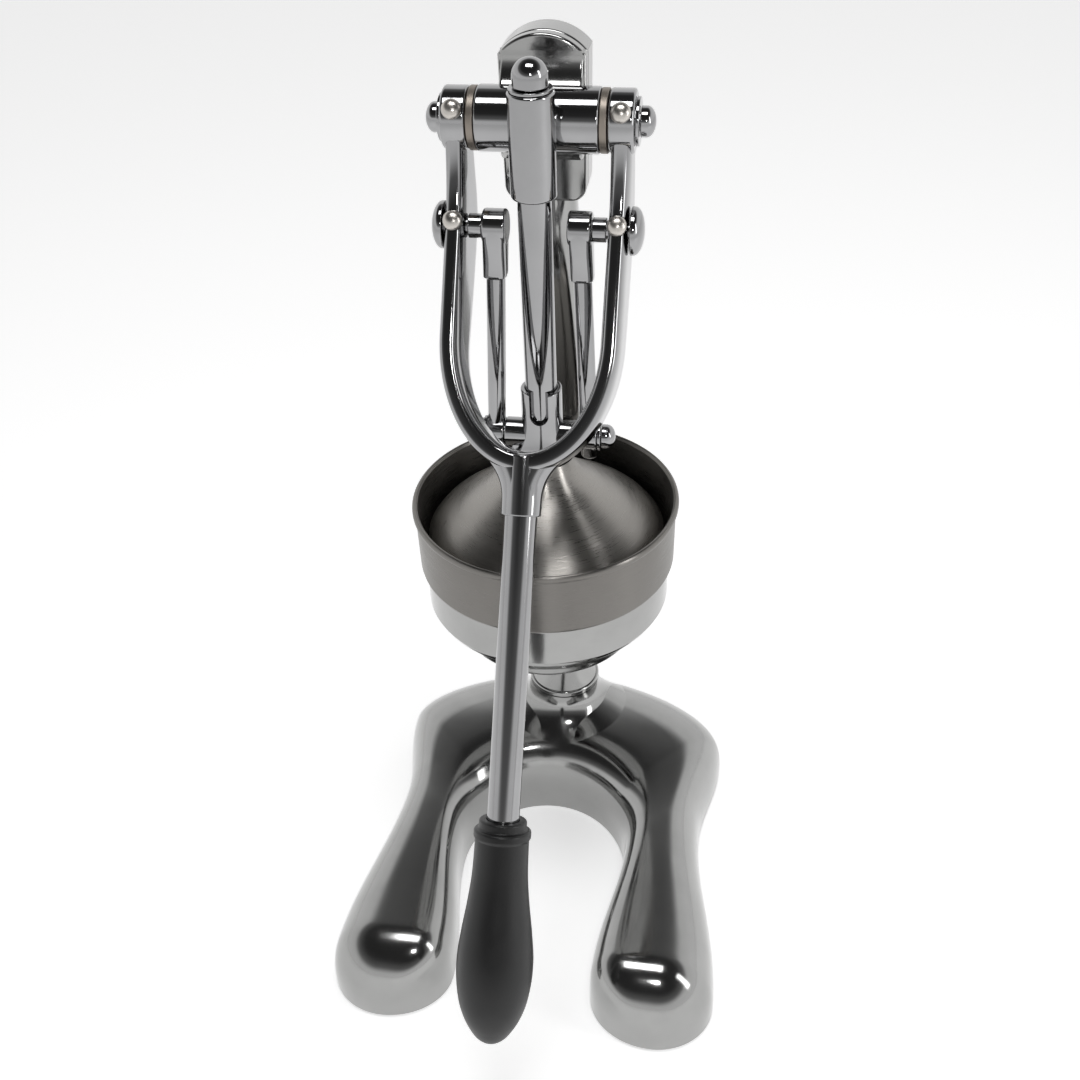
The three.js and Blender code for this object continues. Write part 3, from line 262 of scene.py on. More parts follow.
def lofted(rings):
    """Closed skin over an array of rings; each end is drawn in to its middle."""
    rings = np.asarray(rings, float)
    ends = rings[[0, -1]].mean(1, keepdims=True).repeat(rings.shape[1], 1)
    rings = np.concatenate([ends[:1], rings, ends[1:]])
    return rings.reshape(-1, 3), woven(*rings.shape[:2])


def rounded(corners, steps=5, guard=0.3 * MM, wrap=False):
    """Profile through [radius, height, rounding] corners. Each corner becomes an arc that
    touches both sides, with a guard point just before and after it, so that the shading
    stays even along the straight stretches. The points of a corner without rounding
    coincide."""
    corners = np.array(corners, float)
    place, rounding = corners[:, :2], corners[:, 2]
    back, ahead = np.roll(place, 1, 0) - place, np.roll(place, -1, 0) - place
    if not wrap:
        back[0] = ahead[-1] = rounding[[0, -1]] = 0
    reach_back, reach_ahead = np.linalg.norm(back, axis=1), np.linalg.norm(ahead, axis=1)
    u, v = unit(back), unit(ahead)
    half = np.arccos(np.clip((u * v).sum(1), -1, 1)) / 2
    most, guard_share = 0.46, 0.3
    touch = rounding / np.maximum(np.tan(half), 1e-6)
    touch = np.minimum(touch, most * np.minimum(reach_back, reach_ahead))
    bow = touch * np.tan(half)
    centre = place + unit(u + v) * (bow / np.maximum(np.sin(half), 1e-6))[:, None]
    start, end = (place + way * touch[:, None] - centre for way in (u, v))
    sweep = (np.pi - 2 * half)[:, None, None]
    part = np.linspace(0, 1, steps)[None, :, None]
    wide = np.maximum(np.sin(sweep), 1e-9)
    arc = (start[:, None] * np.sin((1 - part) * sweep) + end[:, None] * np.sin(part * sweep))
    arc = np.where(wide > 1e-6, arc / wide, start[:, None]) + centre[:, None]
    before, after = (way * np.minimum(guard, (reach - touch) * guard_share)[:, None]
                     for way, reach in ((u, reach_back), (v, reach_ahead)))
    return np.concatenate([arc[:, :1] + before[:, None], arc, arc[:, -1:] + after[:, None]],
                          1).reshape(-1, 2)


def flowing(places, count):
    """Smooth curve through given points, as cubic stretches: the slope at a point is the
    mean of the slopes on its two sides, and the samples are evenly spaced."""
    places = np.asarray(places, float)
    run = np.r_[0, np.cumsum(np.linalg.norm(np.diff(places, axis=0), axis=1))]
    slope = np.gradient(places, run, axis=0)
    at = np.linspace(0, run[-1], count)
    k = np.clip(np.searchsorted(run, at, side="right") - 1, 0, len(run) - 2)
    step = (run[k + 1] - run[k])[:, None]
    w = ((at - run[k])[:, None]) / step
    return ((2 * w**3 - 3 * w**2 + 1) * places[k] + (w**3 - 2 * w**2 + w) * step * slope[k]
            + (3 * w**2 - 2 * w**3) * places[k + 1] + (w**3 - w**2) * step * slope[k + 1])


def quarter(start, end, count):
    """Quarter of an ellipse from the side at start to the flat at end."""
    turn = np.linspace(0, np.pi / 2, count)
    return np.stack([along(end[0], start[0], np.cos(turn)),
                     along(start[1], end[1], np.sin(turn))], 1)


def distinct(points, gap=0.01 * MM):
    """Leaves out points that repeat the one before them, or lie within a gap of it."""
    points = np.asarray(points, float)
    return points[np.r_[True, np.linalg.norm(np.diff(points, axis=0), axis=1) > gap]]


def sheet(curve, wall, cap=5):
    """Closed profile of a sheet whose outside follows the curve: the curve, a half round
    edge, the curve drawn in by the wall along its normals, and a half round edge."""
    curve = distinct(curve)
    heading = unit(np.gradient(curve, axis=0))
    inward = np.stack([heading[:, 1], -heading[:, 0]], 1)
    turn = np.linspace(0, np.pi, cap + 2)[1:-1, None]
    end, start = (
        curve[k] + inward[k] * wall / 2 - way * inward[k] * np.cos(turn) * wall / 2
        + way * heading[k] * np.sin(turn) * wall / 2 for k, way in ((-1, 1), (0, -1)))
    return np.concatenate([curve, end, (curve + inward * wall)[::-1], start])


def oval(half_width, half_depth, squareness, count):
    """Rounded section: the cosine and sine are raised to a power, 1 for an ellipse and
    lower for a squarer outline. Sizes may be arrays; the last axis runs round."""
    turn = 2 * np.pi * (np.arange(count) + 0.5) / count
    c, s = np.cos(turn), np.sin(turn)
    power = np.asarray(squareness, float)[..., None]
    return (np.asarray(half_width)[..., None] * np.sign(c) * np.abs(c) ** power,
            np.asarray(half_depth)[..., None] * np.sign(s) * np.abs(s) ** power)


def stacked(half_width, half_depth, squareness, z, x=0.0, y=0.0, count=72):
    """Closed skin over level rounded sections, each round its own x, y and z."""
    across, deep = oval(half_width, half_depth, squareness, count)
    x, y, z = (np.asarray(place)[..., None] for place in (x, y, z))
    return lofted(np.stack(np.broadcast_arrays(across + x, deep + y, z), -1))


def slab(outline, front, back, edge, steps=4):
    """A plate between two depths: the [x, z] outline is carried from front to back along Y
    and drawn in along its normals by a quarter circle at both edges."""
    outline = distinct(outline)
    ahead = np.roll(outline, -1, 0)
    heading = unit(ahead - np.roll(outline, 1, 0))
    inward = np.stack([-heading[:, 1], heading[:, 0]], 1)
    area = (outline[:, 0] * ahead[:, 1] - outline[:, 1] * ahead[:, 0]).sum()
    turn = np.linspace(0, np.pi / 2, steps)
    guard = edge * 1.25
    inset = np.r_[guard, edge * (1 - np.sin(turn)), 0]
    depth = np.r_[0, edge * (1 - np.cos(turn)), guard]
    inset, depth = np.r_[inset, inset[::-1]], np.r_[front + depth, (back - depth)[::-1]]
    flat = outline + np.sign(area) * inward * inset[:, None, None]
    rings = np.stack([flat[..., 0], np.repeat(depth[:, None], len(outline), 1), flat[..., 1]],
                     -1)
    return lofted(rings)


def moved(shell, x=0.0, y=0.0, z=0.0):
    """The surface shifted."""
    points, faces = shell
    return points + (x, y, z), faces


def sideways(shell, side=1):
    """Turns what was made along +Z so that it points along +X or -X."""
    (x, y, z), faces = shell[0].T, shell[1]
    return np.stack([side * z, y, -side * x], 1), faces


def outwards(shell, side, place):
    """Turns what was made along +Z so that it points away from the centre plane, at a
    place on it."""
    return moved(sideways(shell, side), *place)


def backwards(shell, side=1):
    """Turns what was made along +Z so that it points along +Y, or -Y."""
    (x, y, z), faces = shell[0].T, shell[1]
    return np.stack([x, side * z, -side * y], 1), faces


def tilted(shell, tilt, origin):
    """Turns the surface about X and brings it to its origin in the model's frame."""
    (x, y, z), faces = shell[0].T, shell[1]
    c, s = math.cos(tilt), math.sin(tilt)
    return np.stack([x, y * c - z * s, y * s + z * c], 1) + origin, faces


def in_lever(shell):
    """From the lever's own frame, pivot at the origin and handle straight down."""
    return tilted(shell, LEVER_TILT, PIVOT)


def on_handle(shell):
    """From the handle's line, crank pin at the origin, to the model's frame."""
    return in_lever(moved(shell, *CRANK_IN_LEVER))


def on_axis(shell, height=0.0):
    """From the press axis to the model's frame."""
    return moved(shell, *(AXIS + (0, 0, height)))


def mesh_of(shell, name="surface"):
    """A mesh of the surface with its doubles merged and its faces turned outwards."""
    if isinstance(shell, bpy.types.Mesh):
        return shell
    points, faces = shell
    mesh = bpy.data.meshes.new(name)
    mesh.from_pydata(points, [], faces)
    work = bmesh.new()
    work.from_mesh(mesh)
    bmesh.ops.remove_doubles(work, verts=work.verts, dist=0.002 * MM)
    bmesh.ops.dissolve_degenerate(work, edges=work.edges, dist=0.001 * MM)
    bmesh.ops.recalc_face_normals(work, faces=work.faces)
    work.to_mesh(mesh)
    work.free()
    return mesh


def finished(build):
    """The mesh of an object after its modifiers, with the object removed."""
    depsgraph = bpy.context.evaluated_depsgraph_get()
    mesh = bpy.data.meshes.new_from_object(build.evaluated_get(depsgraph))
    bpy.data.objects.remove(build)
    return mesh


def temporary(shell, name):
    """An object that only lends its mesh to a modifier."""
    build = bpy.data.objects.new(name, mesh_of(shell, name))
    bpy.context.scene.collection.objects.link(build)
    return build


def carved(shell, *tools):
    """The solid less the tools, by exact boolean cuts."""
    body = temporary(shell, "carved_body")
    cutters = [temporary(tool, "carving_tool") for tool in tools]
    for cutter in cutters:
        cut = body.modifiers.new("cut", "BOOLEAN")
        cut.operation, cut.solver, cut.object = "DIFFERENCE", "EXACT", cutter
    mesh = finished(body)
    for cutter in cutters:
        bpy.data.objects.remove(cutter)
    return mesh


# Small turned pieces, made along +Z


def lathed(corners, steps=96, wrap=False):
    """Surface turned from a profile of [radius, height, rounding] corners."""
    return turned(rounded(corners, wrap=wrap), steps, wrap)


def pin(diameter, low, high, edge=0.4 * MM, steps=64):
    """Solid round bar with rounded ends."""
    radius = diameter / 2
    return lathed([(0, low, 0), (radius, low, edge), (radius, high, edge), (0, high, 0)], steps)


def ring(bore, diameter, low, high, edge=0.3 * MM, steps=64):
    """Flat ring with rounded edges."""
    inner, outer = bore / 2, diameter / 2
    return lathed([(inner, low, edge), (outer, low, edge), (outer, high, edge),
                   (inner, high, edge)], steps, wrap=True)


def dome(diameter, skirt, height, low=0.0, edge=0.35 * MM, steps=64):
    """Round head: a short straight skirt and a quarter of an ellipse to the top."""
    radius = diameter / 2
    cap = quarter((radius, low + skirt), (0, low + height), 14)
    foot = rounded([(0, low, 0), (radius, low, edge), (*cap[0], 0)])
    return turned(np.concatenate([foot, cap]), steps)


def socket_head(diameter, height, socket, depth, low=0.0, edge=0.5 * MM, steps=48):
    """Bolt head with a six-sided socket: circles up the side, then the six-sided hole drawn
    as a radius that swings with the angle, down to its floor."""
    turn = 2 * np.pi * np.arange(steps) / steps
    to_side = (turn + np.pi / 6) % (np.pi / 3) - np.pi / 6
    six = socket / 2 / np.cos(to_side)
    radius, top, corner = diameter / 2, low + height, edge * 0.3
    rows = [(radius, low), (radius, top - edge), (radius - corner, top - corner),
            (radius - edge, top), (six + 0.15 * MM, top), (six, top - 0.2 * MM),
            (six, top - depth)]
    return lofted([polar(r, turn, z) for r, z in rows])


# Finishes


class Nodes:
    """A shader tree with a short way to add to it."""

    def __init__(self, tree):
        self.tree = tree

    def add(self, kind, sockets=None, **settings):
        """A node with its settings and its sockets, by name or number."""
        node = self.tree.nodes.new(kind)
        for setting, value in settings.items():
            setattr(node, setting, value)
        self.fill(node, sockets or {})
        return node

    def fill(self, node, sockets):
        """Stores plain values in a node's sockets and links outputs to them."""
        for socket, value in sockets.items():
            if isinstance(value, bpy.types.NodeSocket):
                self.tree.links.new(value, node.inputs[socket])
            else:
                node.inputs[socket].default_value = value


class Recipe(Nodes):
    """One material and the shader nodes that it is mixed from."""

    def __init__(self, name, colour, metallic, roughness):
        self.material = bpy.data.materials.new(name)
        self.material.use_nodes = True
        super().__init__(self.material.node_tree)
        self.shader = self.tree.nodes["Principled BSDF"]
        self.fill(self.shader, {"Base Color": (*colour, 1), "Metallic": metallic,
                                "Roughness": roughness})
        self.place = self.add("ShaderNodeTexCoord").outputs["Object"]

    def mapped(self, offset=(0, 0, 0), scale=(1, 1, 1)):
        """Object coordinates, shifted and stretched."""
        return self.add("ShaderNodeMapping", {
            "Vector": self.place, "Location": offset, "Scale": scale}).outputs["Vector"]

    def noise(self, vector, scale, detail=2.0, roughness=0.5):
        """Grey noise."""
        return self.add("ShaderNodeTexNoise", {
            "Vector": vector, "Scale": scale, "Detail": detail,
            "Roughness": roughness}).outputs["Fac"]

    def spread(self, value, low, high, out_low=0, out_high=1):
        """Maps a value from one range to another, held at the ends."""
        return self.add("ShaderNodeMapRange", {
            "Value": value, "From Min": low, "From Max": high, "To Min": out_low,
            "To Max": out_high}).outputs["Result"]

    def times(self, one, other):
        """Product of two values."""
        return self.add("ShaderNodeMath", {0: one, 1: other},
                        operation="MULTIPLY").outputs["Value"]

    def shade(self, part, one, other):
        """Blends two colours by a value."""
        return self.add("ShaderNodeMix", {0: part, 6: (*one, 1), 7: (*other, 1)},
                        data_type="RGBA").outputs[2]

    def relief(self, *layers):
        """Surface relief: each layer is a height and its depth in metres, laid over the
        one before it."""
        under = {}
        for height, depth in layers:
            bump = self.add("ShaderNodeBump", {
                "Height": height, "Distance": depth, "Strength": 1.0, **under})
            under = {"Normal": bump.outputs["Normal"]}
        return under

    def finish(self, sockets):
        """Links what was mixed to the shader and hands over the material."""
        self.fill(self.shader, sockets)
        return self.material


def darker(colour, part):
    """The colour at a part of its strength."""
    return tuple(c * part for c in colour)


def polished(name, colour, roughness, wave, grain):
    """Polished metal: slow waves left by hand polishing, fine wheel marks in two directions,
    and patches that are a little duller and darker where hands touch it."""
    mix = Recipe(name, colour, 1.0, roughness)
    smudge = mix.noise(mix.mapped(), 38.0, 5.0, 0.6)
    marks = mix.noise(mix.mapped(scale=(60, 900, 160)), 6.0, 3.0)
    cross = mix.noise(mix.mapped((3, 1, 2), (700, 90, 140)), 5.0)
    waves = mix.noise(mix.mapped(), 30.0, 1.0, 0.4)
    return mix.finish({
        "Base Color": mix.shade(mix.spread(smudge, 0.3, 0.75), colour, darker(colour, 0.9)),
        "Roughness": mix.spread(smudge, 0.25, 0.8, roughness * 0.7, roughness * 1.6),
        **mix.relief((waves, wave), (marks, grain), (cross, grain * 0.7))})


def spun(name, colour, lines, depth, roughness=0.3):
    """Metal brushed round the press axis: noise over the unit circle direction, the height
    and the radius, stretched so that it only changes quickly across the brushing."""
    mix = Recipe(name, colour, 1.0, roughness)
    parts = mix.add("ShaderNodeSeparateXYZ", {"Vector": mix.mapped(-Vector(AXIS))}).outputs
    flat = mix.add("ShaderNodeCombineXYZ", {"X": parts["X"], "Y": parts["Y"]})
    radius, unit = (mix.add("ShaderNodeVectorMath", {0: flat.outputs["Vector"]}, operation=kind)
                    for kind in ("LENGTH", "NORMALIZE"))
    heading = mix.add("ShaderNodeSeparateXYZ", {"Vector": unit.outputs["Vector"]}).outputs

    def streaks(round_scale, line_scale, detail):
        vector = mix.add("ShaderNodeCombineXYZ", {
            "X": mix.times(heading["X"], round_scale),
            "Y": mix.times(heading["Y"], round_scale),
            "Z": mix.times(parts["Z"], line_scale)})
        return mix.add("ShaderNodeTexNoise", {
            "Vector": vector.outputs["Vector"],
            "W": mix.times(radius.outputs["Value"], line_scale),
            "Scale": 1.0, "Detail": detail, "Roughness": 0.6,
        }, noise_dimensions="4D").outputs["Fac"]

    fine = streaks(5.0, lines * 3, 3.0)
    broad = streaks(1.2, lines * 0.35, 2.0)
    cloud = mix.noise(mix.place, 24.0, 4.0, 0.6)
    around = mix.add("ShaderNodeTangent", direction_type="RADIAL", axis="Z")
    return mix.finish({
        "Base Color": mix.shade(mix.spread(fine, 0.3, 0.7), darker(colour, 0.86), colour),
        "Roughness": mix.times(mix.spread(fine, 0.3, 0.7, roughness * 0.8, roughness * 1.25),
                               mix.spread(cloud, 0.2, 0.8, 0.85, 1.2)),
        "Anisotropic": 0.85, "Anisotropic Rotation": 0.25,
        "Tangent": around.outputs["Tangent"],
        **mix.relief((fine, depth), (broad, depth * 2))})


def grainy(name, colour, metallic, roughness, scale, depth, patch):
    """A surface with an even fine grain and slow changes of gloss and tone."""
    mix = Recipe(name, colour, metallic, roughness)
    grain = mix.noise(mix.place, scale, 3.0, 0.6)
    cloud = mix.noise(mix.mapped((1, 2, 3)), patch, 4.0, 0.55)
    return mix.finish({
        "Base Color": mix.shade(mix.spread(cloud, 0.3, 0.7), darker(colour, 0.85), colour),
        "Roughness": mix.spread(cloud, 0.25, 0.75, roughness * 0.85, roughness * 1.15),
        **mix.relief((grain, depth))})


def made(name):
    """A finish by its name; all of them are made when the first is asked for."""
    if name not in bpy.data.materials:
        look = bpy.context.scene.juice_press.finishes
        polished("Polished casting", look.casting, 0.13, 0.16 * MM, 0.002 * MM)
        polished("Chrome plate", look.chrome, 0.075, 0.05 * MM, 0.001 * MM)
        spun("Brushed bell", look.brushed, 900, 0.0025 * MM)
        # The bowl and the strainer take the brushed steel at 0.62 of its strength: painted shade,
        # a darker copy of the bell's steel.
        spun("Brushed bowl with painted shade", darker(look.brushed, 0.62), 1100, 0.003 * MM)
        grainy("Satin nickel", look.nickel, 1.0, 0.3, 2600, 0.004 * MM, 160)
        grainy("Sintered bronze", look.bronze, 1.0, 0.42, 1800, 0.012 * MM, 90)
        grainy("Zinc plated steel", look.zinc, 1.0, 0.36, 1400, 0.008 * MM, 120)
        grainy("Moulded grip", look.grip, 0.0, 0.42, 1500, 0.02 * MM, 60)
        grainy("Rubber", look.rubber, 0.0, 0.82, 1200, 0.03 * MM, 80)
    return bpy.data.materials[name]


FINISH_OF_SLOT = {
    "polished_aluminium": "Polished casting", "chrome": "Chrome plate", "grip": "Moulded grip",
    "brushed_steel": "Brushed bowl with painted shade", "satin_nickel": "Satin nickel", "rubber": "Rubber",
    "bronze": "Sintered bronze", "steel": "Zinc plated steel"}


# Operators


class Build(Operator):
    """Shared by every operator that builds pieces."""

    bl_options = {"REGISTER", "UNDO"}
    body = "stand"

    @property
    def press(self):
        return bpy.context.scene.juice_press

    def put(self, name, *shells, slot="chrome", finish=None, nodes=None, crease=38):
        """One finished piece of the operator's body: its surfaces joined in one mesh,
        shaded smooth apart from creases, with its finish, and standing in for its nodes of
        the frame."""
        work = bmesh.new()
        for shell in shells:
            work.from_mesh(mesh_of(shell))
        mesh = bpy.data.meshes.new(f"shown_{name}")
        work.to_mesh(mesh)
        work.free()
        mesh.shade_smooth()
        mesh.set_sharp_from_angle(angle=math.radians(crease))
        mesh.materials.clear()
        mesh.materials.append(made(finish or FINISH_OF_SLOT[slot]))
        mesh.polygons.foreach_set("material_index", np.zeros(len(mesh.polygons), np.int32))
        piece = bpy.data.objects.new(f"shown_{name}", mesh)
        bpy.context.scene.collection.objects.link(piece)
        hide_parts(*(nodes or [name]))
        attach(piece, self.body)

    def refinish(self, finish, *nodes):
        """Gives carried-over nodes of the frame their finish; their meshes stay as they are."""
        for name in nodes:
            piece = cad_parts[name]
            if not piece.material_slots:
                piece.data.materials.append(made(finish))
            for held in piece.material_slots:
                held.material = made(finish)

    def fasten(self, kind, name, side, place, bore, washer, nut, skirt, height):
        """A washer and a dome nut on one side of a shaft or on a pin."""
        inner = washer_face(kind, name)
        flat = ring(bore, washer, inner, inner + WASHER, 0.35 * MM, 80)
        cap = dome(nut, skirt, height, inner + WASHER + CLEAR, 0.5 * MM, 80)
        self.put(f"{kind}_washer_{name}", outwards(flat, side, place))
        self.put(f"{kind}_nut_{name}", outwards(cap, side, place))


def washer_face(kind, name):
    """A washer's inner face, from the centre plane."""
    return abs(middle(f"{kind}_washer_{name}")[0]) - WASHER / 2


class BuildBase(Build):
    """Base casting: a hollow horseshoe whose top flares up round the upright's collar."""

    bl_idname = "juice_press.base"
    bl_label = "Base casting"
    lift = 2 * MM  # the casting's rim over the table
    last = 18  # station at a leg's tip

    def stations(self, k):
        """Plan edges and ridge at stations k, from 0 at the rear middle to 18 at a leg's
        tip: quarter turns round the arch and the shoulder, half cosine sways down the leg
        and a quarter turn at the tip. Negative stations are the left half."""
        s = self.press.stand
        shoulder, arch, ankle = 5, 8, 12
        rear, shoulder_y, arch_rear, neck_y, arch_front, ankle_y, front = (
            v * MM for v in (92, 44, -1.5, -22, -54, -135, -165))
        wide, inner_tip = s.drop_half_width, s.drop_half_width - 69.3 * MM
        centre = along(inner_tip, wide, 0.524)
        side, k = np.sign(k), np.abs(k)

        def part(start, end):
            return np.clip((k - start) / (end - start), 0, 1)

        def run(*stretches):
            return np.select([k <= shoulder, k <= arch, k <= ankle], stretches[:3],
                             stretches[3])

        inside, outside, tip = (np.pi / 2 * part(*ends) for ends in (
            (0, arch), (0, shoulder), (ankle, self.last)))
        sway, leg = part(shoulder, arch), part(arch, ankle)
        arch_x = s.arch_half_width * np.sin(inside)
        arch_y = along(arch_front, arch_rear, np.cos(inside))
        tip_y = along(ankle_y, front, np.sin(tip))
        inner = np.stack([
            side * run(arch_x, arch_x, along(s.arch_half_width, inner_tip, eased(leg)),
                       along(centre, inner_tip, np.cos(tip))),
            run(arch_y, arch_y, along(arch_front, ankle_y, leg), tip_y)], -1)
        outer = np.stack([
            side * run(s.shoulder_half_width * np.sin(outside) ** 1.14,
                       along(s.shoulder_half_width, s.neck_half_width, eased(sway)),
                       along(s.neck_half_width, wide, eased(leg)),
                       along(centre, wide, np.cos(tip))),
            run(along(shoulder_y, rear, np.cos(outside) ** 1.14),
                along(shoulder_y, neck_y, sway), along(neck_y, ankle_y, leg), tip_y)], -1)
        saddle = along(s.saddle_height, s.leg_height, eased(part(0, arch)))
        return inner, outer, run(
            saddle, saddle, along(s.leg_height, s.drop_height, eased(leg)),
            along(self.lift, s.drop_height, np.cos(tip) ** 0.84))

    def skin(self, k, wall=0.0, inset_share=1.0):
        """Sections across the horseshoe: the half width follows a cosine and the height a
        sine, raised to a lower power on the steep wall round the arch. A wall draws the
        section in all round; a share closes it to nothing."""
        inner, outer, ridge = self.stations(k)
        span = np.linalg.norm(outer - inner, axis=1)
        across = unit(outer - inner)
        turn = np.linspace(0, np.pi, 34)
        c, s = np.cos(turn), np.sin(turn)
        power = np.where(c > 0, 0.5, 0.84)
        half = np.maximum(span / 2 - wall, 0) * inset_share
        height = np.maximum(ridge - wall - self.lift, 0) * inset_share
        reach = -np.sign(c) * np.abs(c) ** power * half[:, None]
        rise = self.lift + np.maximum(s, 0) ** power * height[:, None]
        flat = (inner + outer)[:, None] / 2 + across[:, None] * reach[..., None]
        return np.concatenate([flat, rise[..., None]], -1)

    def execute(self, context):
        s = self.press.stand
        spread = np.linspace(-1, 1, 241)
        k = self.last * np.sign(spread) * (1 - (1 - np.abs(spread)) ** 1.1)
        inner, outer, _ = self.stations(k)
        closing, closed = 12 * MM, 14 * MM
        span = np.linalg.norm(outer - inner, axis=1)
        kept = np.clip((span - closed) / closing, 0, 1) ** 0.5
        hollow = self.skin(k, s.base_wall, kept)
        shell = on_axis(lofted(np.concatenate([self.skin(k), hollow[:, ::-1]], 1)))
        feet = [f"rubber_foot_{n}" for n in range(1, 5)]
        post = pin(20 * MM, 8 * MM, 40 * MM)
        posts = [moved(post, *(middle(foot) * (1, 1, 0))) for foot in feet]
        self.put("base_casting", shell, self.flare(shell), *posts, slot="polished_aluminium")
        self.put("feet", *map(self.foot, feet), slot="rubber", nodes=feet)
        self.refinish("Zinc plated steel", *(f"foot_screw_{n}" for n in range(1, 5)))
        return {"FINISHED"}

    def flare(self, shell):
        """The pedestal: rings at the collar's height whose radius grows as a quarter turn,
        let down on to the casting by the sine of the same turn."""
        reach, top, skirt_foot, steps = self.press.stand.pedestal_reach, 74 * MM, 34 * MM, 28
        collar = middle("upright_bolt_1") * (0, 1, 0)
        radii = along(reach, COLLAR_RADIUS, np.cos(np.linspace(0, np.pi / 2, steps)))
        points, faces = turned(np.concatenate([
            [(0, skirt_foot), (COLLAR_RADIUS, skirt_foot)],
            np.stack([radii, np.full(steps, top)], 1), [(0, top)]]), 128)
        build = temporary((points + collar, faces), "pedestal")
        target = temporary(shell, "pedestal_ground")
        places = np.zeros(len(build.data.vertices) * 3)
        build.data.vertices.foreach_get("co", places)
        away = np.linalg.norm((places.reshape(-1, 3) - collar)[:, :2], axis=1)
        part = np.clip((reach - away) / (reach - COLLAR_RADIUS), 0, 1)
        fall = np.sqrt(1 - part**2)
        fall[places[2::3] < top - MM] = 0
        group = build.vertex_groups.new(name="fall")
        for level in np.unique(fall.round(4)):
            group.add(np.flatnonzero(fall.round(4) == level).tolist(), float(level), "REPLACE")
        drape = build.modifiers.new("drape", "SHRINKWRAP")
        drape.wrap_method, drape.target, drape.vertex_group = "PROJECT", target, "fall"
        drape.use_project_z = drape.use_negative_direction = True
        drape.use_positive_direction = False
        mesh = finished(build)
        bpy.data.objects.remove(target)
        return mesh

    def foot(self, node):
        """A rubber foot: a round block with a rounded rim and a well for its screw."""
        wide, _, tall = extent(node)
        radius = wide / 2 + CLEAR
        well, bore, floor = 4.3 * MM, 2.3 * MM, 3.4 * MM
        return moved(lathed([
            (well, 0, 0.4 * MM), (radius, 0, 1.6 * MM), (radius, tall, 0.6 * MM),
            (bore, tall, 0.2 * MM), (bore, floor, 0.2 * MM), (well, floor, 0.2 * MM)],
            64, wrap=True), *(middle(node) * (1, 1, 0)))


class BuildUpright(Build):
    """Upright: a round collar, a neck that thins and bends back, and the arched head."""

    bl_idname = "juice_press.upright"
    bl_label = "Upright"

    def execute(self, context):
        s = self.press.stand
        low, high = (v - Vector(AXIS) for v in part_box("upright_casting"))
        foot = middle("upright_bolt_1")[1] - AXIS[1]
        rear, lean, neck = high[1] - s.upright_depth / 2, 52 * MM, 42 * MM
        rise_top, bend = holder_bolts() + 0.5 * MM, middle("juice_bowl")[2] + 72 * MM
        collar_top, lean_top = low[2] + 4 * MM, PIVOT[2] - 36 * MM
        rise, upper = np.linspace(0, 1, 60) ** 1.5, np.linspace(0, 1, 40)
        spread = np.r_[(1 - rise) ** 8, np.zeros(len(upper) + 1)]
        stem = stacked(
            along(s.upright_width, neck, spread) / 2,
            along(s.upright_depth, neck, spread) / 2, along(0.8, 1, spread),
            y=np.r_[along(foot, rear, eased(rise)), along(rear, lean, eased(upper)), lean],
            z=np.r_[along(collar_top - MM, rise_top, rise), along(bend, lean_top, upper),
                    HEAD_SHOULDER - 7 * MM])
        face = PIVOT[1] - AXIS[1] + 16 * MM
        head = slab(head_outline(s.head_width), face, face + 17 * MM, 1.3 * MM)
        ring_foot = moved(lathed([
            (0, low[2], 0), (COLLAR_RADIUS, low[2], 0.5 * MM),
            (COLLAR_RADIUS, collar_top, 1.4 * MM), (0, collar_top, 0)]), y=foot)
        bolts = [f"{pair}_bolt_{n}" for pair in ("holder", "crosshead") for n in (1, 2)]
        self.put("upright", carved(on_axis(stem), *map(self.bore, bolts)),
                 *map(on_axis, (head, lug(73 * MM, rear, 0.8 * MM), ring_foot)),
                 slot="polished_aluminium", nodes=["upright_casting"])
        self.put("rear_bolts", *map(self.bolt, bolts), slot="steel", nodes=bolts)
        self.refinish("Zinc plated steel", "upright_bolt_1", "upright_bolt_2")
        return {"FINISHED"}

    def bore(self, bolt):
        """The sunk seat of a bolt's head, open to the back."""
        seat = pin(10.6 * MM, 0, 16 * MM, edge=0.01 * MM)
        return moved(backwards(seat), 0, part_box(bolt)[1][1] - 6.3 * MM, middle(bolt)[2])

    def bolt(self, bolt):
        """A socket head bolt that comes in from the back."""
        low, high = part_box(bolt)
        tall, height = 6 * MM, middle(bolt)[2]
        head = backwards(socket_head(10 * MM, tall, 5 * MM, 3 * MM))
        shank = backwards(pin(6 * MM, 0, high[1] - low[1] - tall + 0.2 * MM))
        return joined(moved(head, 0, high[1] - tall, height), moved(shank, 0, low[1], height))


def holder_bolts():
    """Height of the middle between the holder's two bolts."""
    return (middle("holder_bolt_1")[2] + middle("holder_bolt_2")[2]) / 2


def lug(front, back, edge):
    """Plate round the holder's bolts, on the upright and on the holder."""
    half_width, half_height, corner = 13 * MM, 15.5 * MM, 2 * MM
    return slab(rounded([
        (x * half_width, holder_bolts() + z * half_height, corner)
        for x, z in ((-1, -1), (1, -1), (1, 1), (-1, 1))], wrap=True), front, back, edge)


def joined(*shells):
    """Several surfaces as one array of points and faces."""
    counts = np.cumsum([0] + [len(points) for points, _ in shells[:-1]])
    return (np.concatenate([points for points, _ in shells]),
            np.concatenate([faces + n for (_, faces), n in zip(shells, counts)]))


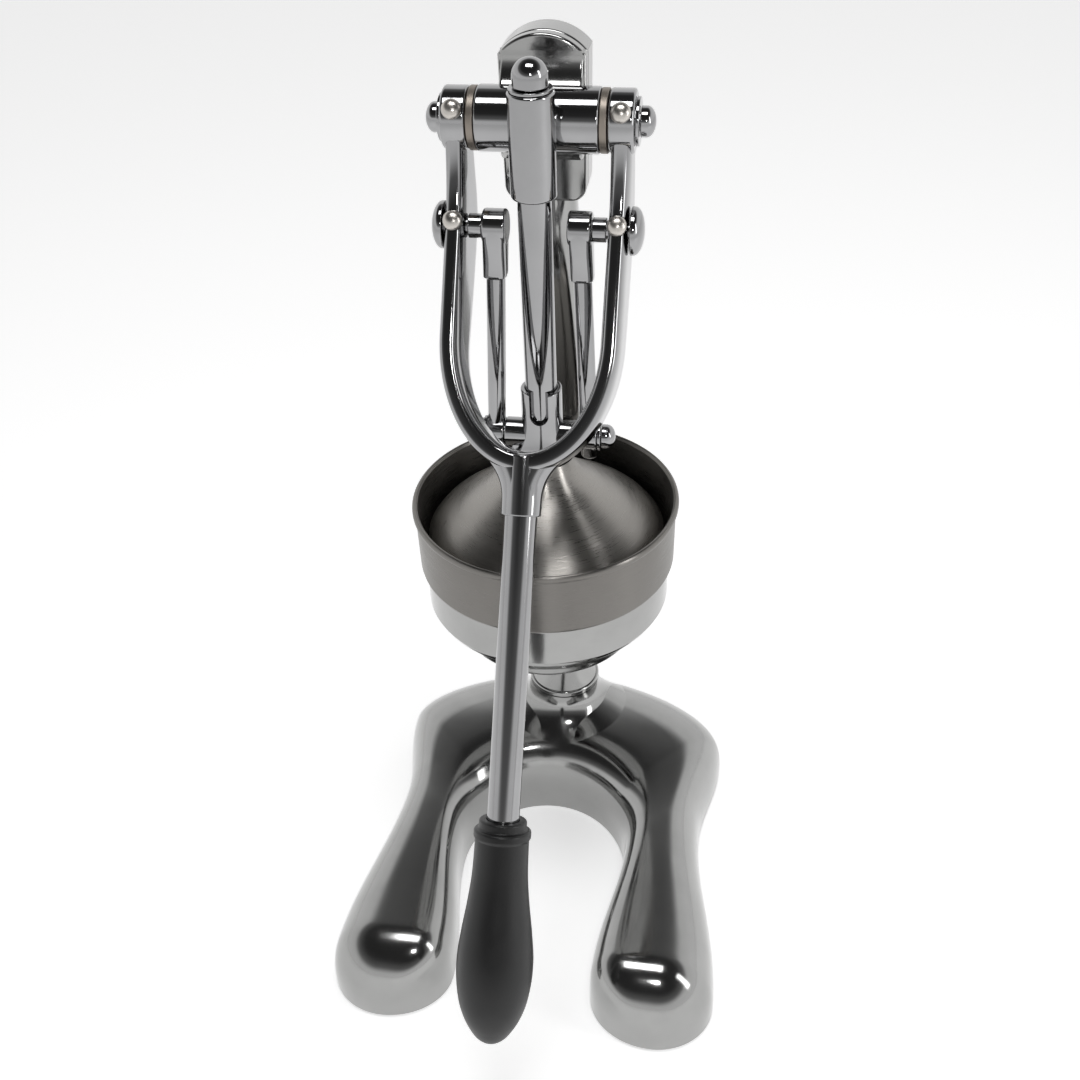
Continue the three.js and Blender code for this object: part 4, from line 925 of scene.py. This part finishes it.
def head_outline(width):
    """Front view of the head and its plate: straight sides, rounded foot corners and an
    arch from shoulder to shoulder."""
    half, foot_half, corner = width / 2, width / 2 - 0.7 * MM, 7 * MM
    foot, arch = PIVOT[2] - 43 * MM, 9.5 * MM
    radius = (half**2 + arch**2) / (2 * arch)
    centre = HEAD_SHOULDER + arch - radius
    spring = math.asin((HEAD_SHOULDER - centre) / radius)
    turn = np.linspace(spring, np.pi - spring, 40)
    top = np.stack([radius * np.cos(turn), centre + radius * np.sin(turn)], 1)
    feet = rounded([(half, HEAD_SHOULDER, 0), (foot_half, foot, corner),
                    (-foot_half, foot, corner), (-half, HEAD_SHOULDER, 0)], steps=10)
    ends = 13
    return np.concatenate([top, feet[ends:-ends][::-1]])


class BuildCrosshead(Build):
    """Crosshead: plate, scooped web, pivot barrel and rod guide, with the two bushes."""

    bl_idname = "juice_press.crosshead"
    bl_label = "Crosshead and bushes"

    def execute(self, context):
        s = self.press.stand
        pivot_y, pivot_z = PIVOT[1] - AXIS[1], PIVOT[2]
        face = pivot_y + 15.7 * MM
        front, inside = face - 6.5 * MM, face - 2 * MM
        plate = slab(head_outline(s.head_width), front, face, 1.3 * MM)
        top, foot, nose = pivot_z + 28 * MM, pivot_z - 21 * MM, pivot_y - 4 * MM
        web = slab(np.concatenate([
            [(nose, foot + 9 * MM), (pivot_y + 2 * MM, foot + 1.5 * MM),
             (pivot_y + 6 * MM, foot), (inside, foot), (inside, top)],
            quarter((front, top), (nose, pivot_z + 12 * MM), 14)]),
            -19.4 * MM, 19.4 * MM, 1.4 * MM)
        web = web[0][:, [1, 0, 2]], web[1]
        half = extent("crosshead")[0] / 2
        barrel = moved(sideways(ring(17.6 * MM, s.barrel_diameter, -half, half, 1.0 * MM, 96)),
                       y=pivot_y, z=pivot_z)
        guide = ring(16.6 * MM, s.guide_diameter, pivot_z - 28 * MM, pivot_z + 20 * MM,
                     1.2 * MM, 96)
        self.put("crosshead", on_axis(barrel), on_axis(guide))
        self.put("crosshead_plate", on_axis(plate), on_axis(web), finish="Polished casting",
                 nodes=["crosshead"])
        bore, sleeve, flange, seat = 6.3 * MM, 8.7 * MM, 14.5 * MM, half + CLEAR
        for name, side in SIDES:
            width = extent(f"pivot_bush_{name}")[0]
            outer = seat + width - 20 * MM
            bush = lathed([
                (bore, outer - width, 0.3 * MM), (sleeve, outer - width, 0.3 * MM),
                (sleeve, seat, 0.1 * MM), (flange, seat, 0.4 * MM),
                (flange, outer, 0.5 * MM), (bore, outer, 0.4 * MM)], wrap=True)
            self.put(f"pivot_bush_{name}", outwards(bush, side, PIVOT), slot="bronze")
        return {"FINISHED"}


class BuildHolder(Build):
    """Bowl holder: a short wall and a funnel, its lug, and the drain's sleeve."""

    bl_idname = "juice_press.holder"
    bl_label = "Bowl holder and spout"

    def execute(self, context):
        s = self.press.bowl
        end, top = levels("bowl_holder")
        outside, inside = dish(0), dish(s.holder_wall)
        radius, hub = s.holder_diameter / 2, 19 * MM
        inner, bore = radius - s.holder_wall, hub - s.holder_wall
        shoulder, throat = outside[0, 1], outside[-1, 1]
        mouth = rounded([(inner, shoulder, 0), (inner, top, 1.2 * MM),
                         (radius, top, 1.4 * MM), (radius, shoulder, 0)])
        neck = rounded([(*outside[-1], 0), (hub + 1.5 * MM, throat - 3 * MM, 2 * MM),
                        (hub, end, 1 * MM), (bore, end, 1 * MM), (bore, inside[-1, 1], 0)])
        shell = turned(np.concatenate([mouth[3:-3], outside[1:-1], neck, inside[::-1][1:-1]]),
                       144, wrap=True)
        plate = lug(radius - s.holder_wall / 2, 72.7 * MM, 0.7 * MM)
        self.put("holder", on_axis(shell), on_axis(plate), slot="polished_aluminium",
                 nodes=["bowl_holder"])
        sleeve = ring(18.6 * MM, 22.6 * MM, *levels("drain_spout"), 0.8 * MM, 96)
        self.put("drain_spout", on_axis(sleeve))
        return {"FINISHED"}


def bowl_step():
    """Height of the bowl's step, which rests on the holder's wall."""
    return levels("bowl_holder")[1] + CLEAR


def dish(inset):
    """Profile of the funnel, drawn in by a distance: listed shares of the way inwards and
    down, joined by a smooth curve."""
    inward, down = np.array([
        (0, 0), (0.04, 0.083), (0.133, 0.19), (0.238, 0.32), (0.367, 0.548), (0.533, 0.71),
        (0.756, 0.88), (1, 1)]).T
    radius = along(extent("bowl_holder")[0] / 2, 22 * MM, inward) - inset
    height = bowl_step() - 23 * MM - 42 * MM * down + 0.4 * inset
    return flowing(np.stack([radius, height], 1), 48)


class BuildBowl(Build):
    """Juice bowl: a spun sheet with a beaded rim, a step and an outlet tube."""

    bl_idname = "juice_press.bowl"
    bl_label = "Juice bowl"

    def execute(self, context):
        s = self.press.bowl
        end, rim = levels("juice_bowl")
        step, funnel = bowl_step(), dish(s.holder_wall + CLEAR)
        band, mouth, outlet, steps = s.bowl_band / 2, s.bowl_mouth / 2, 9 * MM, 160
        sleeve = funnel[0, 0]
        wall = rounded([(mouth, rim - 1.5 * MM, 0), (mouth, rim - 8 * MM, 0),
                        (band, step, 2.2 * MM), (sleeve, step, 2 * MM),
                        (sleeve, funnel[0, 1], 0)])
        drain = rounded([(*funnel[-2], 0), (outlet, funnel[-1, 1], 2 * MM), (outlet, end, 0)])
        curve = distinct(np.concatenate([wall[2:-3], funnel[1:-3], drain[3:-3]]), 0.05 * MM)
        body = turned(sheet(curve, s.bowl_wall), steps, wrap=True)
        turn = np.linspace(0, 2 * np.pi, 25)[:-1]
        thick, tall = 1.4 * MM, 2.2 * MM
        bead = turned(np.stack([mouth + 0.1 * MM + thick * np.cos(turn),
                                rim - tall + tall * np.sin(turn)], 1), steps, wrap=True)
        self.put("bowl", on_axis(body), on_axis(bead), slot="brushed_steel",
                 nodes=["juice_bowl"])
        return {"FINISHED"}


class BuildStrainer(Build):
    """Strainer plate with slots like rays, and the ribbed reamer that stands on it."""

    bl_idname = "juice_press.strainer"
    bl_label = "Strainer and reamer"

    def execute(self, context):
        s = self.press.bowl
        for name, node, shape, count, slot in (
                ("strainer", "strainer", self.plate, s.strainer_slots, "brushed_steel"),
                ("reamer", "reamer_cone", self.cone, s.reamer_ribs, "polished_aluminium")):
            shell = shape(extent(node)[0] / 2, *levels(node), count)
            self.put(name, on_axis(shell), slot=slot, nodes=[node])
        return {"FINISHED"}

    def plate(self, radius, low, high, slots):
        """A polar grid of cells from ring to ring, top and bottom, with the slots' cells
        left out and a wall wherever a kept cell meets a missing one."""
        start, end, guard = 47 * MM, 59 * MM, 0.1 * MM
        rings = np.array([1 * MM, 25 * MM, start - guard, start, end, end + guard, 66 * MM,
                          radius - 0.4 * MM, radius])
        drop = np.r_[np.zeros(len(rings) - 1), 0.25 * MM]
        slot_ring, pitch, half_slot = 3, 2 * np.pi / slots, 3.2 * MM / (start + end)
        turn = (np.arange(slots)[:, None] * pitch + np.array(
            [-half_slot, half_slot, 0.3 * pitch, 0.5 * pitch, 0.7 * pitch])).ravel()
        columns = len(turn)
        cut = np.zeros((len(rings) - 1, columns), bool)
        cut[slot_ring, ::columns // slots] = True
        top, bottom = (polar(rings[:, None], turn, z[:, None])
                       for z in (high - drop, low + drop))
        cells = woven(len(rings), columns).reshape(*cut.shape, 4)
        kept, slot = cells[~cut], cells[cut]
        edges = np.concatenate([*(slot[:, pair] for pair in ([0, 1], [1, 2], [2, 3], [3, 0])),
                                cells[-1][:, [3, 2]], cells[0][:, [0, 1]]])
        under = len(rings) * columns
        walls = np.concatenate([edges, edges[:, ::-1] + under], 1)
        return (np.concatenate([top, bottom]).reshape(-1, 3),
                np.concatenate([kept, kept[:, ::-1] + under, walls]))

    def cone(self, radius, low, high, ribs):
        """A dome whose radius swings with the ribs: a cosine of the rib count, fading to
        the tip, with ridges narrower than the hollows between them."""
        rise = np.linspace(0, 1, 56)
        steps = ribs * 16
        turn = 2 * np.pi * np.arange(steps) / steps
        reach = radius * np.cos(np.pi / 2 * rise) ** (1 / 1.7)
        hollow = 0.075 * (1 - (0.5 + 0.5 * np.cos(ribs * turn)) ** 1.5)
        r = reach[:, None] * (1 - hollow * np.minimum(1, 1.1 - 0.35 * rise)[:, None])
        z = along(low, high, np.sin(np.pi / 2 * rise))
        return lofted(polar(r, turn, z[:, None]))


class BuildFork(Build):
    """Fork of the lever: two arms joined by a bow, bosses at the pivot, the handle's
    socket and the four lock screws."""

    bl_idname = "juice_press.fork"
    bl_label = "Fork and lock screws"
    body = "lever"

    def path(self):
        """Centre line from the left boss round the bow to the right boss: a quarter sine
        forward to the crank pin, a straight arm, and a quarter of an ellipse to the
        bottom."""
        s = self.press.lever
        forward, drop = CRANK_IN_LEVER[1], -CRANK_IN_LEVER[2]
        part, run = np.linspace(0, 1, 24, endpoint=False), np.linspace(0, 1, 16, endpoint=False)
        bow = np.linspace(0, np.pi / 2, 48)
        x = np.r_[np.ones(len(part) + len(run)), np.cos(bow)] * s.arm_centre
        y = np.r_[np.sin(np.pi / 2 * part), np.ones(len(run) + len(bow))] * forward
        z = -np.r_[drop * part, drop + s.bow_start * run,
                   drop + along(s.bow_start, s.bow_reach, np.sin(bow))]
        right = np.stack([x, y, z], 1)
        return np.concatenate([right * (-1, 1, 1), right[-2::-1]])

    def depths(self, z):
        """Depth in front of and behind the line: slim in the boss, deep along the arm and
        slim again round the bow."""
        boss_front, bow_front = 12.5 * MM, 9 * MM
        boss_rear, arm_rear, bow_rear = 12 * MM, 27 * MM, 10 * MM
        drop = -CRANK_IN_LEVER[2]
        thinned = np.clip(z / (-drop - self.press.lever.bow_reach), 0, 1) ** 3
        widened = along(boss_rear, arm_rear, eased(np.clip(-z / drop, 0, 1)))
        return along(boss_front, bow_front, thinned), along(widened, bow_rear, thinned)

    def arms(self, count=56, squareness=0.42, slimmer=0.22):
        """Rounded sections square to the line, slimmer towards the front."""
        path = self.path()
        heading = unit(np.gradient(path, axis=0) * (1, 0, 1))
        front, rear = self.depths(path[:, 2])
        across, deep = oval(np.full(len(path), self.press.lever.arm_width / 2),
                            (front + rear) / 2, squareness, count)
        turn = 2 * np.pi * (np.arange(count) + 0.5) / count
        across = across * (1 - slimmer * ((1 - np.sin(turn)) / 2) ** 1.5)
        return lofted(np.stack([
            path[:, :1] - heading[:, 2:] * across,
            path[:, 1:2] + (rear - front)[:, None] / 2 + deep,
            path[:, 2:] + heading[:, :1] * across], -1))

    def seats(self):
        """Places of the lock screws on the arms' front: over the pivot and the crank pin."""
        front, sunk = self.depths(np.array([CRANK_IN_LEVER[2]]))[0][0], 0.8 * MM
        return (("pivot", sunk - self.press.lever.boss_diameter / 2, 0.0),
                ("crank", CRANK_IN_LEVER[1] - front + sunk, CRANK_IN_LEVER[2]))

    def gusset(self):
        """The flares between bow and socket: the half width falls from the bow's to the
        socket's by a power of the way down, and the section rounds off with it."""
        s = self.press.lever
        part = np.linspace(1, 0, 30)
        end, lean, spread = s.socket_diameter / 2, 0.5 * MM, 11 * MM
        return stacked(
            end + spread * (1 - part) ** 2.4, end - lean * (1 - part) ** 2,
            along(0.8, 1, np.minimum(part * 1.6, 1)), y=lean * (1 - part),
            z=-along(s.bow_reach - 3 * MM, s.bow_reach + 20 * MM, part))

    def execute(self, context):
        s = self.press.lever
        x = s.arm_centre
        boss = pin(s.boss_diameter, x - 6 * MM, x + 6 * MM, 1.4 * MM, 96)
        seat = backwards(pin(10 * MM, -6 * MM, 0.5 * MM, 0.01 * MM, 40))
        arms = carved(in_lever(self.arms()), *(
            in_lever(moved(seat, side * x, y, z)) for _, y, z in self.seats()
            for _, side in SIDES))
        bow, end = -s.bow_reach + 3.5 * MM, -s.bow_reach - SOCKET_DROP
        socket = ring(s.handle_diameter + 0.6 * MM, s.socket_diameter, end, bow, 1.2 * MM, 96)
        self.put("lever_fork", arms, *(in_lever(sideways(boss, side)) for _, side in SIDES),
                 on_handle(socket), on_handle(self.gusset()))
        screw = backwards(joined(dome(9.4 * MM, 0.9 * MM, 4.2 * MM, 0, 0.3 * MM),
                                 pin(5 * MM, -5 * MM, 1 * MM)), -1)
        for name, side in SIDES:
            for which, y, z in self.seats():
                self.put(f"{which}_lock_screw_{name}", in_lever(moved(screw, side * x, y, z)),
                         slot="satin_nickel")
        return {"FINISHED"}


class BuildHandle(Build):
    """Handle rod and its grip: a stepped collar, then a smooth curve through listed
    shares of the grip's radius and length."""

    bl_idname = "juice_press.handle"
    bl_label = "Handle and grip"
    body = "lever"

    def execute(self, context):
        s = self.press.lever
        held_above, held_below = 22 * MM, 60 * MM
        rod = pin(s.handle_diameter, -s.grip_start - held_below,
                  held_above - s.bow_reach - SOCKET_DROP, 1 * MM, 96)
        self.put("handle_rod", on_handle(rod))
        radius, length = s.grip_diameter / 2, s.grip_length - CLEAR
        bore, first, second = s.handle_diameter / 2 + 0.2 * MM, 0.62 * radius, 0.745 * radius
        collar = rounded(np.array([
            (0, 6, 0), (bore, 6, 0), (bore, 0, 0.5), (first, 0, 1.1), (first, 4.4, 0.9),
            (second, 4.9, 1.5), (second, 8.4, 1.5), (0.7 * radius, 9.8, 0.5)])
            * (1, -MM, MM) - (0, s.grip_start, 0), 6)
        shares = np.array([
            (0.7, 0.088), (0.705, 0.14), (0.735, 0.26), (0.81, 0.37), (0.925, 0.5), (1, 0.62),
            (0.965, 0.74), (0.835, 0.84), (0.61, 0.92), (0.345, 0.975), (0.15, 0.994), (0, 1)])
        body = flowing(shares * (radius, -length) - (0, s.grip_start), 90)
        self.put("handle_grip", on_handle(turned(np.concatenate([collar[1:-1], body]), 120)),
                 slot="grip", crease=50)
        return {"FINISHED"}


class BuildPivot(Build):
    """Pivot shaft with its washers and dome nuts."""

    bl_idname = "juice_press.pivot"
    bl_label = "Pivot shaft and nuts"
    body = "lever"

    def execute(self, context):
        self.refinish("Chrome plate", "pivot_shaft")
        for side in SIDES:
            self.fasten("pivot", *side, PIVOT, 8.6 * MM, 22 * MM, 14 * MM, 2.6 * MM, 6.8 * MM)
        return {"FINISHED"}


class BuildCrank(Build):
    """Crank pins with their mushroom heads, and the spacers inside the arms."""

    bl_idname = "juice_press.crank"
    bl_label = "Crank pins and spacers"
    body = "lever"

    def execute(self, context):
        s = self.press.lever
        half = s.arm_width / 2 + CLEAR
        outside, outer = s.arm_centre + half, s.arm_centre - half
        for name, side in SIDES:
            spacer = f"link_spacer_{name}"
            inner = abs(middle(spacer)[0]) - extent(spacer)[0] / 2
            head = dome(22.6 * MM, 1.5 * MM, 6.4 * MM, outside, 0.5 * MM, 96)
            shank = pin(8 * MM, inner, outside + MM)
            self.put(f"crank_pin_{name}", *(outwards(part, side, CRANK)
                                            for part in (head, shank)))
            self.put(spacer, outwards(ring(8.6 * MM, 11.6 * MM, inner, outer, 0.4 * MM), side,
                                      CRANK))
        return {"FINISHED"}


class BuildLinks(Build):
    """The two links: a boxy fitting at the top, narrower lower down, and a round shank."""

    bl_idname = "juice_press.links"
    bl_label = "Links"
    body = "links"

    def link(self, side):
        """In the link's frame, lower eye at the origin: eyes across, and rounded sections
        carried up the line between the eyes."""
        width = self.press.plunger.link_shank
        tail, straight, foot = -13 * MM, 30 * MM, LINK_LENGTH - 24 * MM

        def carried(z, width, depth, squareness):
            return stacked(width / 2, depth / 2, squareness, z,
                           x=side * along(LINK_FOOT, LINK_TOP, z / LINK_LENGTH), count=56)

        low, top = (sideways(pin(diameter, -half, half, edge, 80)) for diameter, half, edge in (
            (15 * MM, EYE_HALF, 0.9 * MM), (17 * MM, 5.7 * MM, 1.2 * MM)))
        part = np.linspace(0, 1, 16)
        fitting = carried(
            np.r_[foot - 1.2 * MM, foot - 0.5 * MM, along(foot, LINK_LENGTH, part)],
            np.r_[9, 10.8, np.full(len(part), 11.4)] * MM,
            np.r_[9, 10.8, along(11.6, 17, eased(part))] * MM, 0.5)
        turn = np.linspace(np.pi / 2, 0, 9)[:-1]
        widths = np.r_[np.cos(turn), 1, 1] * width
        shank = carried(np.r_[tail + 0.3 * width * (1 - np.sin(turn)), straight,
                              foot + 4 * MM], widths, widths, 1)
        return (moved(low, side * LINK_FOOT), moved(top, side * LINK_TOP, 0, LINK_LENGTH),
                fitting, shank)

    def execute(self, context):
        for name, side in SIDES:
            self.put(f"link_{name}", *(tilted(part, LINK_TILT, PIN)
                                       for part in self.link(side)))
        return {"FINISHED"}


class BuildRod(Build):
    """Press rod with the washer and dome nut on its upper end."""

    bl_idname = "juice_press.rod"
    bl_label = "Press rod"
    body = "plunger"

    def execute(self, context):
        low, high = levels("press_rod")
        radius, tail, thread, seat = (self.press.plunger.rod_diameter / 2, 4 * MM, 5 * MM,
                                      PIN[2] + ROD_SEAT)
        top = levels("rod_washer")[0] - CLEAR
        self.put("press_rod", on_axis(lathed([
            (0, low, 0), (tail, low, 0.5 * MM), (tail, seat, 0.1 * MM),
            (radius, seat, 0.6 * MM), (radius, top, 0.9 * MM), (thread, top, 0.1 * MM),
            (thread, high, 0.5 * MM), (0, high, 0)], 112)))
        washer = ring(10.6 * MM, 20 * MM, *levels("rod_washer"), 0.35 * MM, 96)
        self.put("rod_washer", on_axis(washer))
        low, high = levels("rod_nut")
        self.put("rod_nut", on_axis(dome(16.4 * MM, 4.5 * MM, high - low, low, 0.6 * MM, 96)))
        return {"FINISHED"}


class BuildYoke(Build):
    """Yoke: a straight neck that flares to a foot band by a quarter of an ellipse, with
    side bosses and a round-ended notch, and the pins, washers and nuts of the links."""

    bl_idname = "juice_press.yoke"
    bl_label = "Yoke and its pins"
    body = "plunger"

    def execute(self, context):
        s = self.press.plunger
        foot, top = levels("press_yoke")
        half_top, half_foot, bore, half_slot = s.yoke_top / 2, s.yoke_foot / 2, 8.3 * MM, 4.8 * MM
        band, seat = foot + 3 * MM, PIN[2] + ROD_SEAT
        waist = quarter((half_top, PIN[2] + 7.5 * MM), (half_foot, band), 16)[::-1]
        base = rounded([(0, foot, 0), (half_foot, foot, 0.6 * MM),
                        (half_foot, band, 0.6 * MM), (*waist[1], 0)])
        crown = rounded([(*waist[-1], 0), (half_top, top, 0.7 * MM), (bore, top, 0.4 * MM),
                         (bore, seat, 0.1 * MM), (0, seat, 0)])
        body = turned(np.concatenate([base[:-1], waist[2:], crown[1:]]), 112)
        notch_foot, past = top - 17 * MM + half_slot, top + 3 * MM
        turn = np.linspace(np.pi, 2 * np.pi, 21)
        notch = slab(np.concatenate([
            half_slot * np.stack([np.cos(turn), np.sin(turn)], 1) + (0, notch_foot),
            [(half_slot, past), (-half_slot, past)]]), -14 * MM, 0, 0.02 * MM)
        boss = pin(15 * MM, 4 * MM, LINK_FOOT - EYE_HALF - 0.6 * MM, 0.7 * MM, 80)
        self.put("press_yoke", carved(on_axis(body), on_axis(notch)),
                 *(outwards(boss, side, AXIS + (0, 0, PIN[2])) for _, side in SIDES))
        for name, side in SIDES:
            shank = pin(8 * MM, 9.6 * MM, washer_face("lower", name))
            self.put(f"lower_pin_{name}", outwards(shank, side, PIN))
            self.fasten("lower", name, side, PIN, 6.6 * MM, 15 * MM, 12.4 * MM, 2.4 * MM,
                        7 * MM)
        return {"FINISHED"}


class BuildBell(Build):
    """Pressing bell: one spun sheet with a flat top; its side is a smooth curve through
    listed shares of the way outwards and down."""

    bl_idname = "juice_press.bell"
    bl_label = "Pressing bell"
    body = "plunger"

    def execute(self, context):
        s = self.press.plunger
        foot, top = levels("press_bell")
        outward, down = np.array([(0, 0), (0.05, 0.11), (0.15, 0.25), (0.36, 0.44),
                                  (0.66, 0.68), (0.93, 0.9), (1, 1)]).T
        side = flowing(np.stack([along(s.bell_top, s.bell_diameter, outward) / 2,
                                 along(top, foot + 0.8 * MM, down)], 1), 90)
        start, overlap = 6, 9
        crown = rounded([(4.6 * MM, top, 0), (s.bell_top / 2, top, 1.6 * MM),
                         (*side[start], 0)], 7)
        curve = np.concatenate([crown[:-overlap], side[start + 1:]])
        curve[:, 0] = np.minimum(curve[:, 0], s.bell_diameter / 2)
        self.put("press_bell", on_axis(turned(sheet(curve, s.bell_wall), 192, wrap=True)),
                 slot="brushed_steel", finish="Brushed bell", crease=30)
        self.refinish("Zinc plated steel", "bell_nut")
        return {"FINISHED"}


# Studio: lamps as name, place, aim, width, height and power; the sky as height and level;
# the camera's place from the press axis, its heading, pitch and roll in degrees, and its
# lens in frame widths.
FLOOR_COLOUR = (0.84, 0.84, 0.84)
FLOOR_LIFT = 0.58
SKY_LEAN = 0.3
LAMPS = (
    ("top_lamp", (0, -0.15, 1.7), (0, 0.02, 0.2), 0.8, 0.4, 7.5),
    ("side_lamp", (1.3, -0.3, 0.8), (0, 0.05, 0.25), 0.25, 0.9, 3.5),
    ("front_lamp", (0.16, -0.62, 0.78), (0, 0.03, 0.2), 0.1, 0.07, 0.8),
)
SKY = ((0.0, 1.0), (0.38, 0.9), (0.58, 0.16), (0.8, 0.04), (1.0, 0.03))
CAMERA_PLACE = (99.1 * MM, -551.06 * MM, 645.37 * MM)
CAMERA_TURN = (-10.58, 37.214, -2.337)
CAMERA_LENS = 1272.2 / 1080


class BuildStage(Build):
    """White floor, soft lamps, a plain dome and the camera at the photograph's angle."""

    bl_idname = "juice_press.stage"
    bl_label = "Studio"

    def execute(self, context):
        scene = context.scene
        scene.view_settings.view_transform = "Standard"
        self.floor()
        self.world(scene)
        for lamp in LAMPS:
            self.lamp(*lamp)
        self.camera(scene)
        return {"FINISHED"}

    def staged(self, name, data):
        """Adds an object to the studio."""
        build = bpy.data.objects.new(name, data)
        bpy.context.scene.collection.objects.link(build)
        return build

    def floor(self):
        """A wide flat floor that looks brighter to the camera and in reflections than its
        own light makes it."""
        reach = 12.0
        mesh = bpy.data.meshes.new("floor")
        mesh.from_pydata([(-reach, -reach, 0), (reach, -reach, 0), (reach, reach, 0),
                          (-reach, reach, 0)], [], [(0, 1, 2, 3)])
        mix = Recipe("Studio floor", FLOOR_COLOUR, 0.0, 1.0)
        rays = mix.add("ShaderNodeLightPath").outputs
        seen = rays["Is Camera Ray"]
        for kind in ("Is Glossy Ray", "Is Transmission Ray"):
            seen = mix.add("ShaderNodeMath", {0: seen, 1: rays[kind]}, operation="ADD",
                           use_clamp=True).outputs["Value"]
        mesh.materials.append(mix.finish({
            "Specular IOR Level": 0.0, "Emission Color": (1, 1, 1, 1),
            "Emission Strength": mix.times(seen, FLOOR_LIFT)}))
        self.staged("floor", mesh)

    def world(self, scene):
        """A plain dome: white low down and further up behind the press, dark overhead and
        in front, which gives polished metal its deep tones. The level goes by the height
        less a share of the depth of each direction."""
        world = scene.world = bpy.data.worlds.new("Studio")
        world.use_nodes = True
        mix = Nodes(world.node_tree)
        place = mix.add("ShaderNodeTexCoord").outputs["Generated"]
        parts = mix.add("ShaderNodeSeparateXYZ", {0: place}).outputs
        lean = mix.add("ShaderNodeMath", {0: parts["Y"], 1: -SKY_LEAN, 2: parts["Z"]},
                       operation="MULTIPLY_ADD")
        ramp = mix.add("ShaderNodeValToRGB", {"Fac": lean.outputs["Value"]})
        ramp.color_ramp.interpolation = "EASE"
        spots = ramp.color_ramp.elements
        for k, (at, level) in enumerate(SKY):
            spot = spots[k] if k < 2 else spots.new(at)
            spot.position, spot.color = at, (level, level, level, 1)
        mix.fill(mix.tree.nodes["Background"], {"Color": ramp.outputs["Color"]})

    def lamp(self, name, place, aim, width, height, power):
        """A soft rectangular lamp turned to its aim."""
        light = bpy.data.lights.new(name, "AREA")
        light.shape, light.size, light.size_y, light.energy = "RECTANGLE", width, height, power
        build = self.staged(name, light)
        build.location = place
        build.rotation_euler = (Vector(aim) - Vector(place)).to_track_quat("-Z", "Y").to_euler()

    def camera(self, scene):
        """The camera stands where the photograph was taken: its heading, pitch and roll
        were fitted to the base, the bowl and the fork."""
        az, pitch, roll = (math.radians(v) for v in CAMERA_TURN)
        ahead = Vector((math.sin(az) * math.cos(pitch), math.cos(az) * math.cos(pitch),
                        -math.sin(pitch)))
        level = Vector((math.cos(az), -math.sin(az), 0))
        up = level.cross(ahead)
        right = level * math.cos(roll) + up * math.sin(roll)
        up = up * math.cos(roll) - level * math.sin(roll)
        data = bpy.data.cameras.new("camera")
        data.sensor_width, data.lens = 36, 36 * CAMERA_LENS
        camera = self.staged("camera", data)
        turn = Matrix((right, up, -ahead)).transposed().to_4x4()
        place = Vector(CAMERA_PLACE) + Vector(AXIS)
        camera.matrix_world = Matrix.Translation(place) @ turn
        scene.camera = camera


class JuicePressPanel(Panel):
    """Lists the builders and the sizes and colours that they use."""

    bl_idname = "VIEW3D_PT_juice_press"
    bl_label = "Juice press"
    bl_space_type = "VIEW_3D"
    bl_region_type = "UI"
    bl_category = "Juice Press"

    def draw(self, context):
        column = self.layout.column()
        for builder in BUILDERS:
            column.operator(builder.bl_idname)
        press = context.scene.juice_press
        for group in (press.stand, press.bowl, press.lever, press.plunger, press.finishes):
            box = self.layout.box()
            for name in group.__annotations__:
                box.prop(group, name)


BUILDERS = (BuildBase, BuildUpright, BuildCrosshead, BuildHolder, BuildBowl, BuildStrainer,
            BuildFork, BuildHandle, BuildPivot, BuildCrank, BuildLinks, BuildRod, BuildYoke,
            BuildBell, BuildStage)
CLASSES = (StandSizes, BowlSizes, LeverSizes, PlungerSizes, Finishes, JuicePress, *BUILDERS,
           JuicePressPanel)


def register():
    for kind in CLASSES:
        bpy.utils.register_class(kind)
    bpy.types.Scene.juice_press = PointerProperty(type=JuicePress)


def unregister():
    del bpy.types.Scene.juice_press
    for kind in reversed(CLASSES):
        bpy.utils.unregister_class(kind)


def main():
    """Builds every piece and the studio."""
    register()
    for builder in BUILDERS:
        module, name = builder.bl_idname.split(".")
        getattr(getattr(bpy.ops, module), name)()


if __name__ == "__main__":
    main()
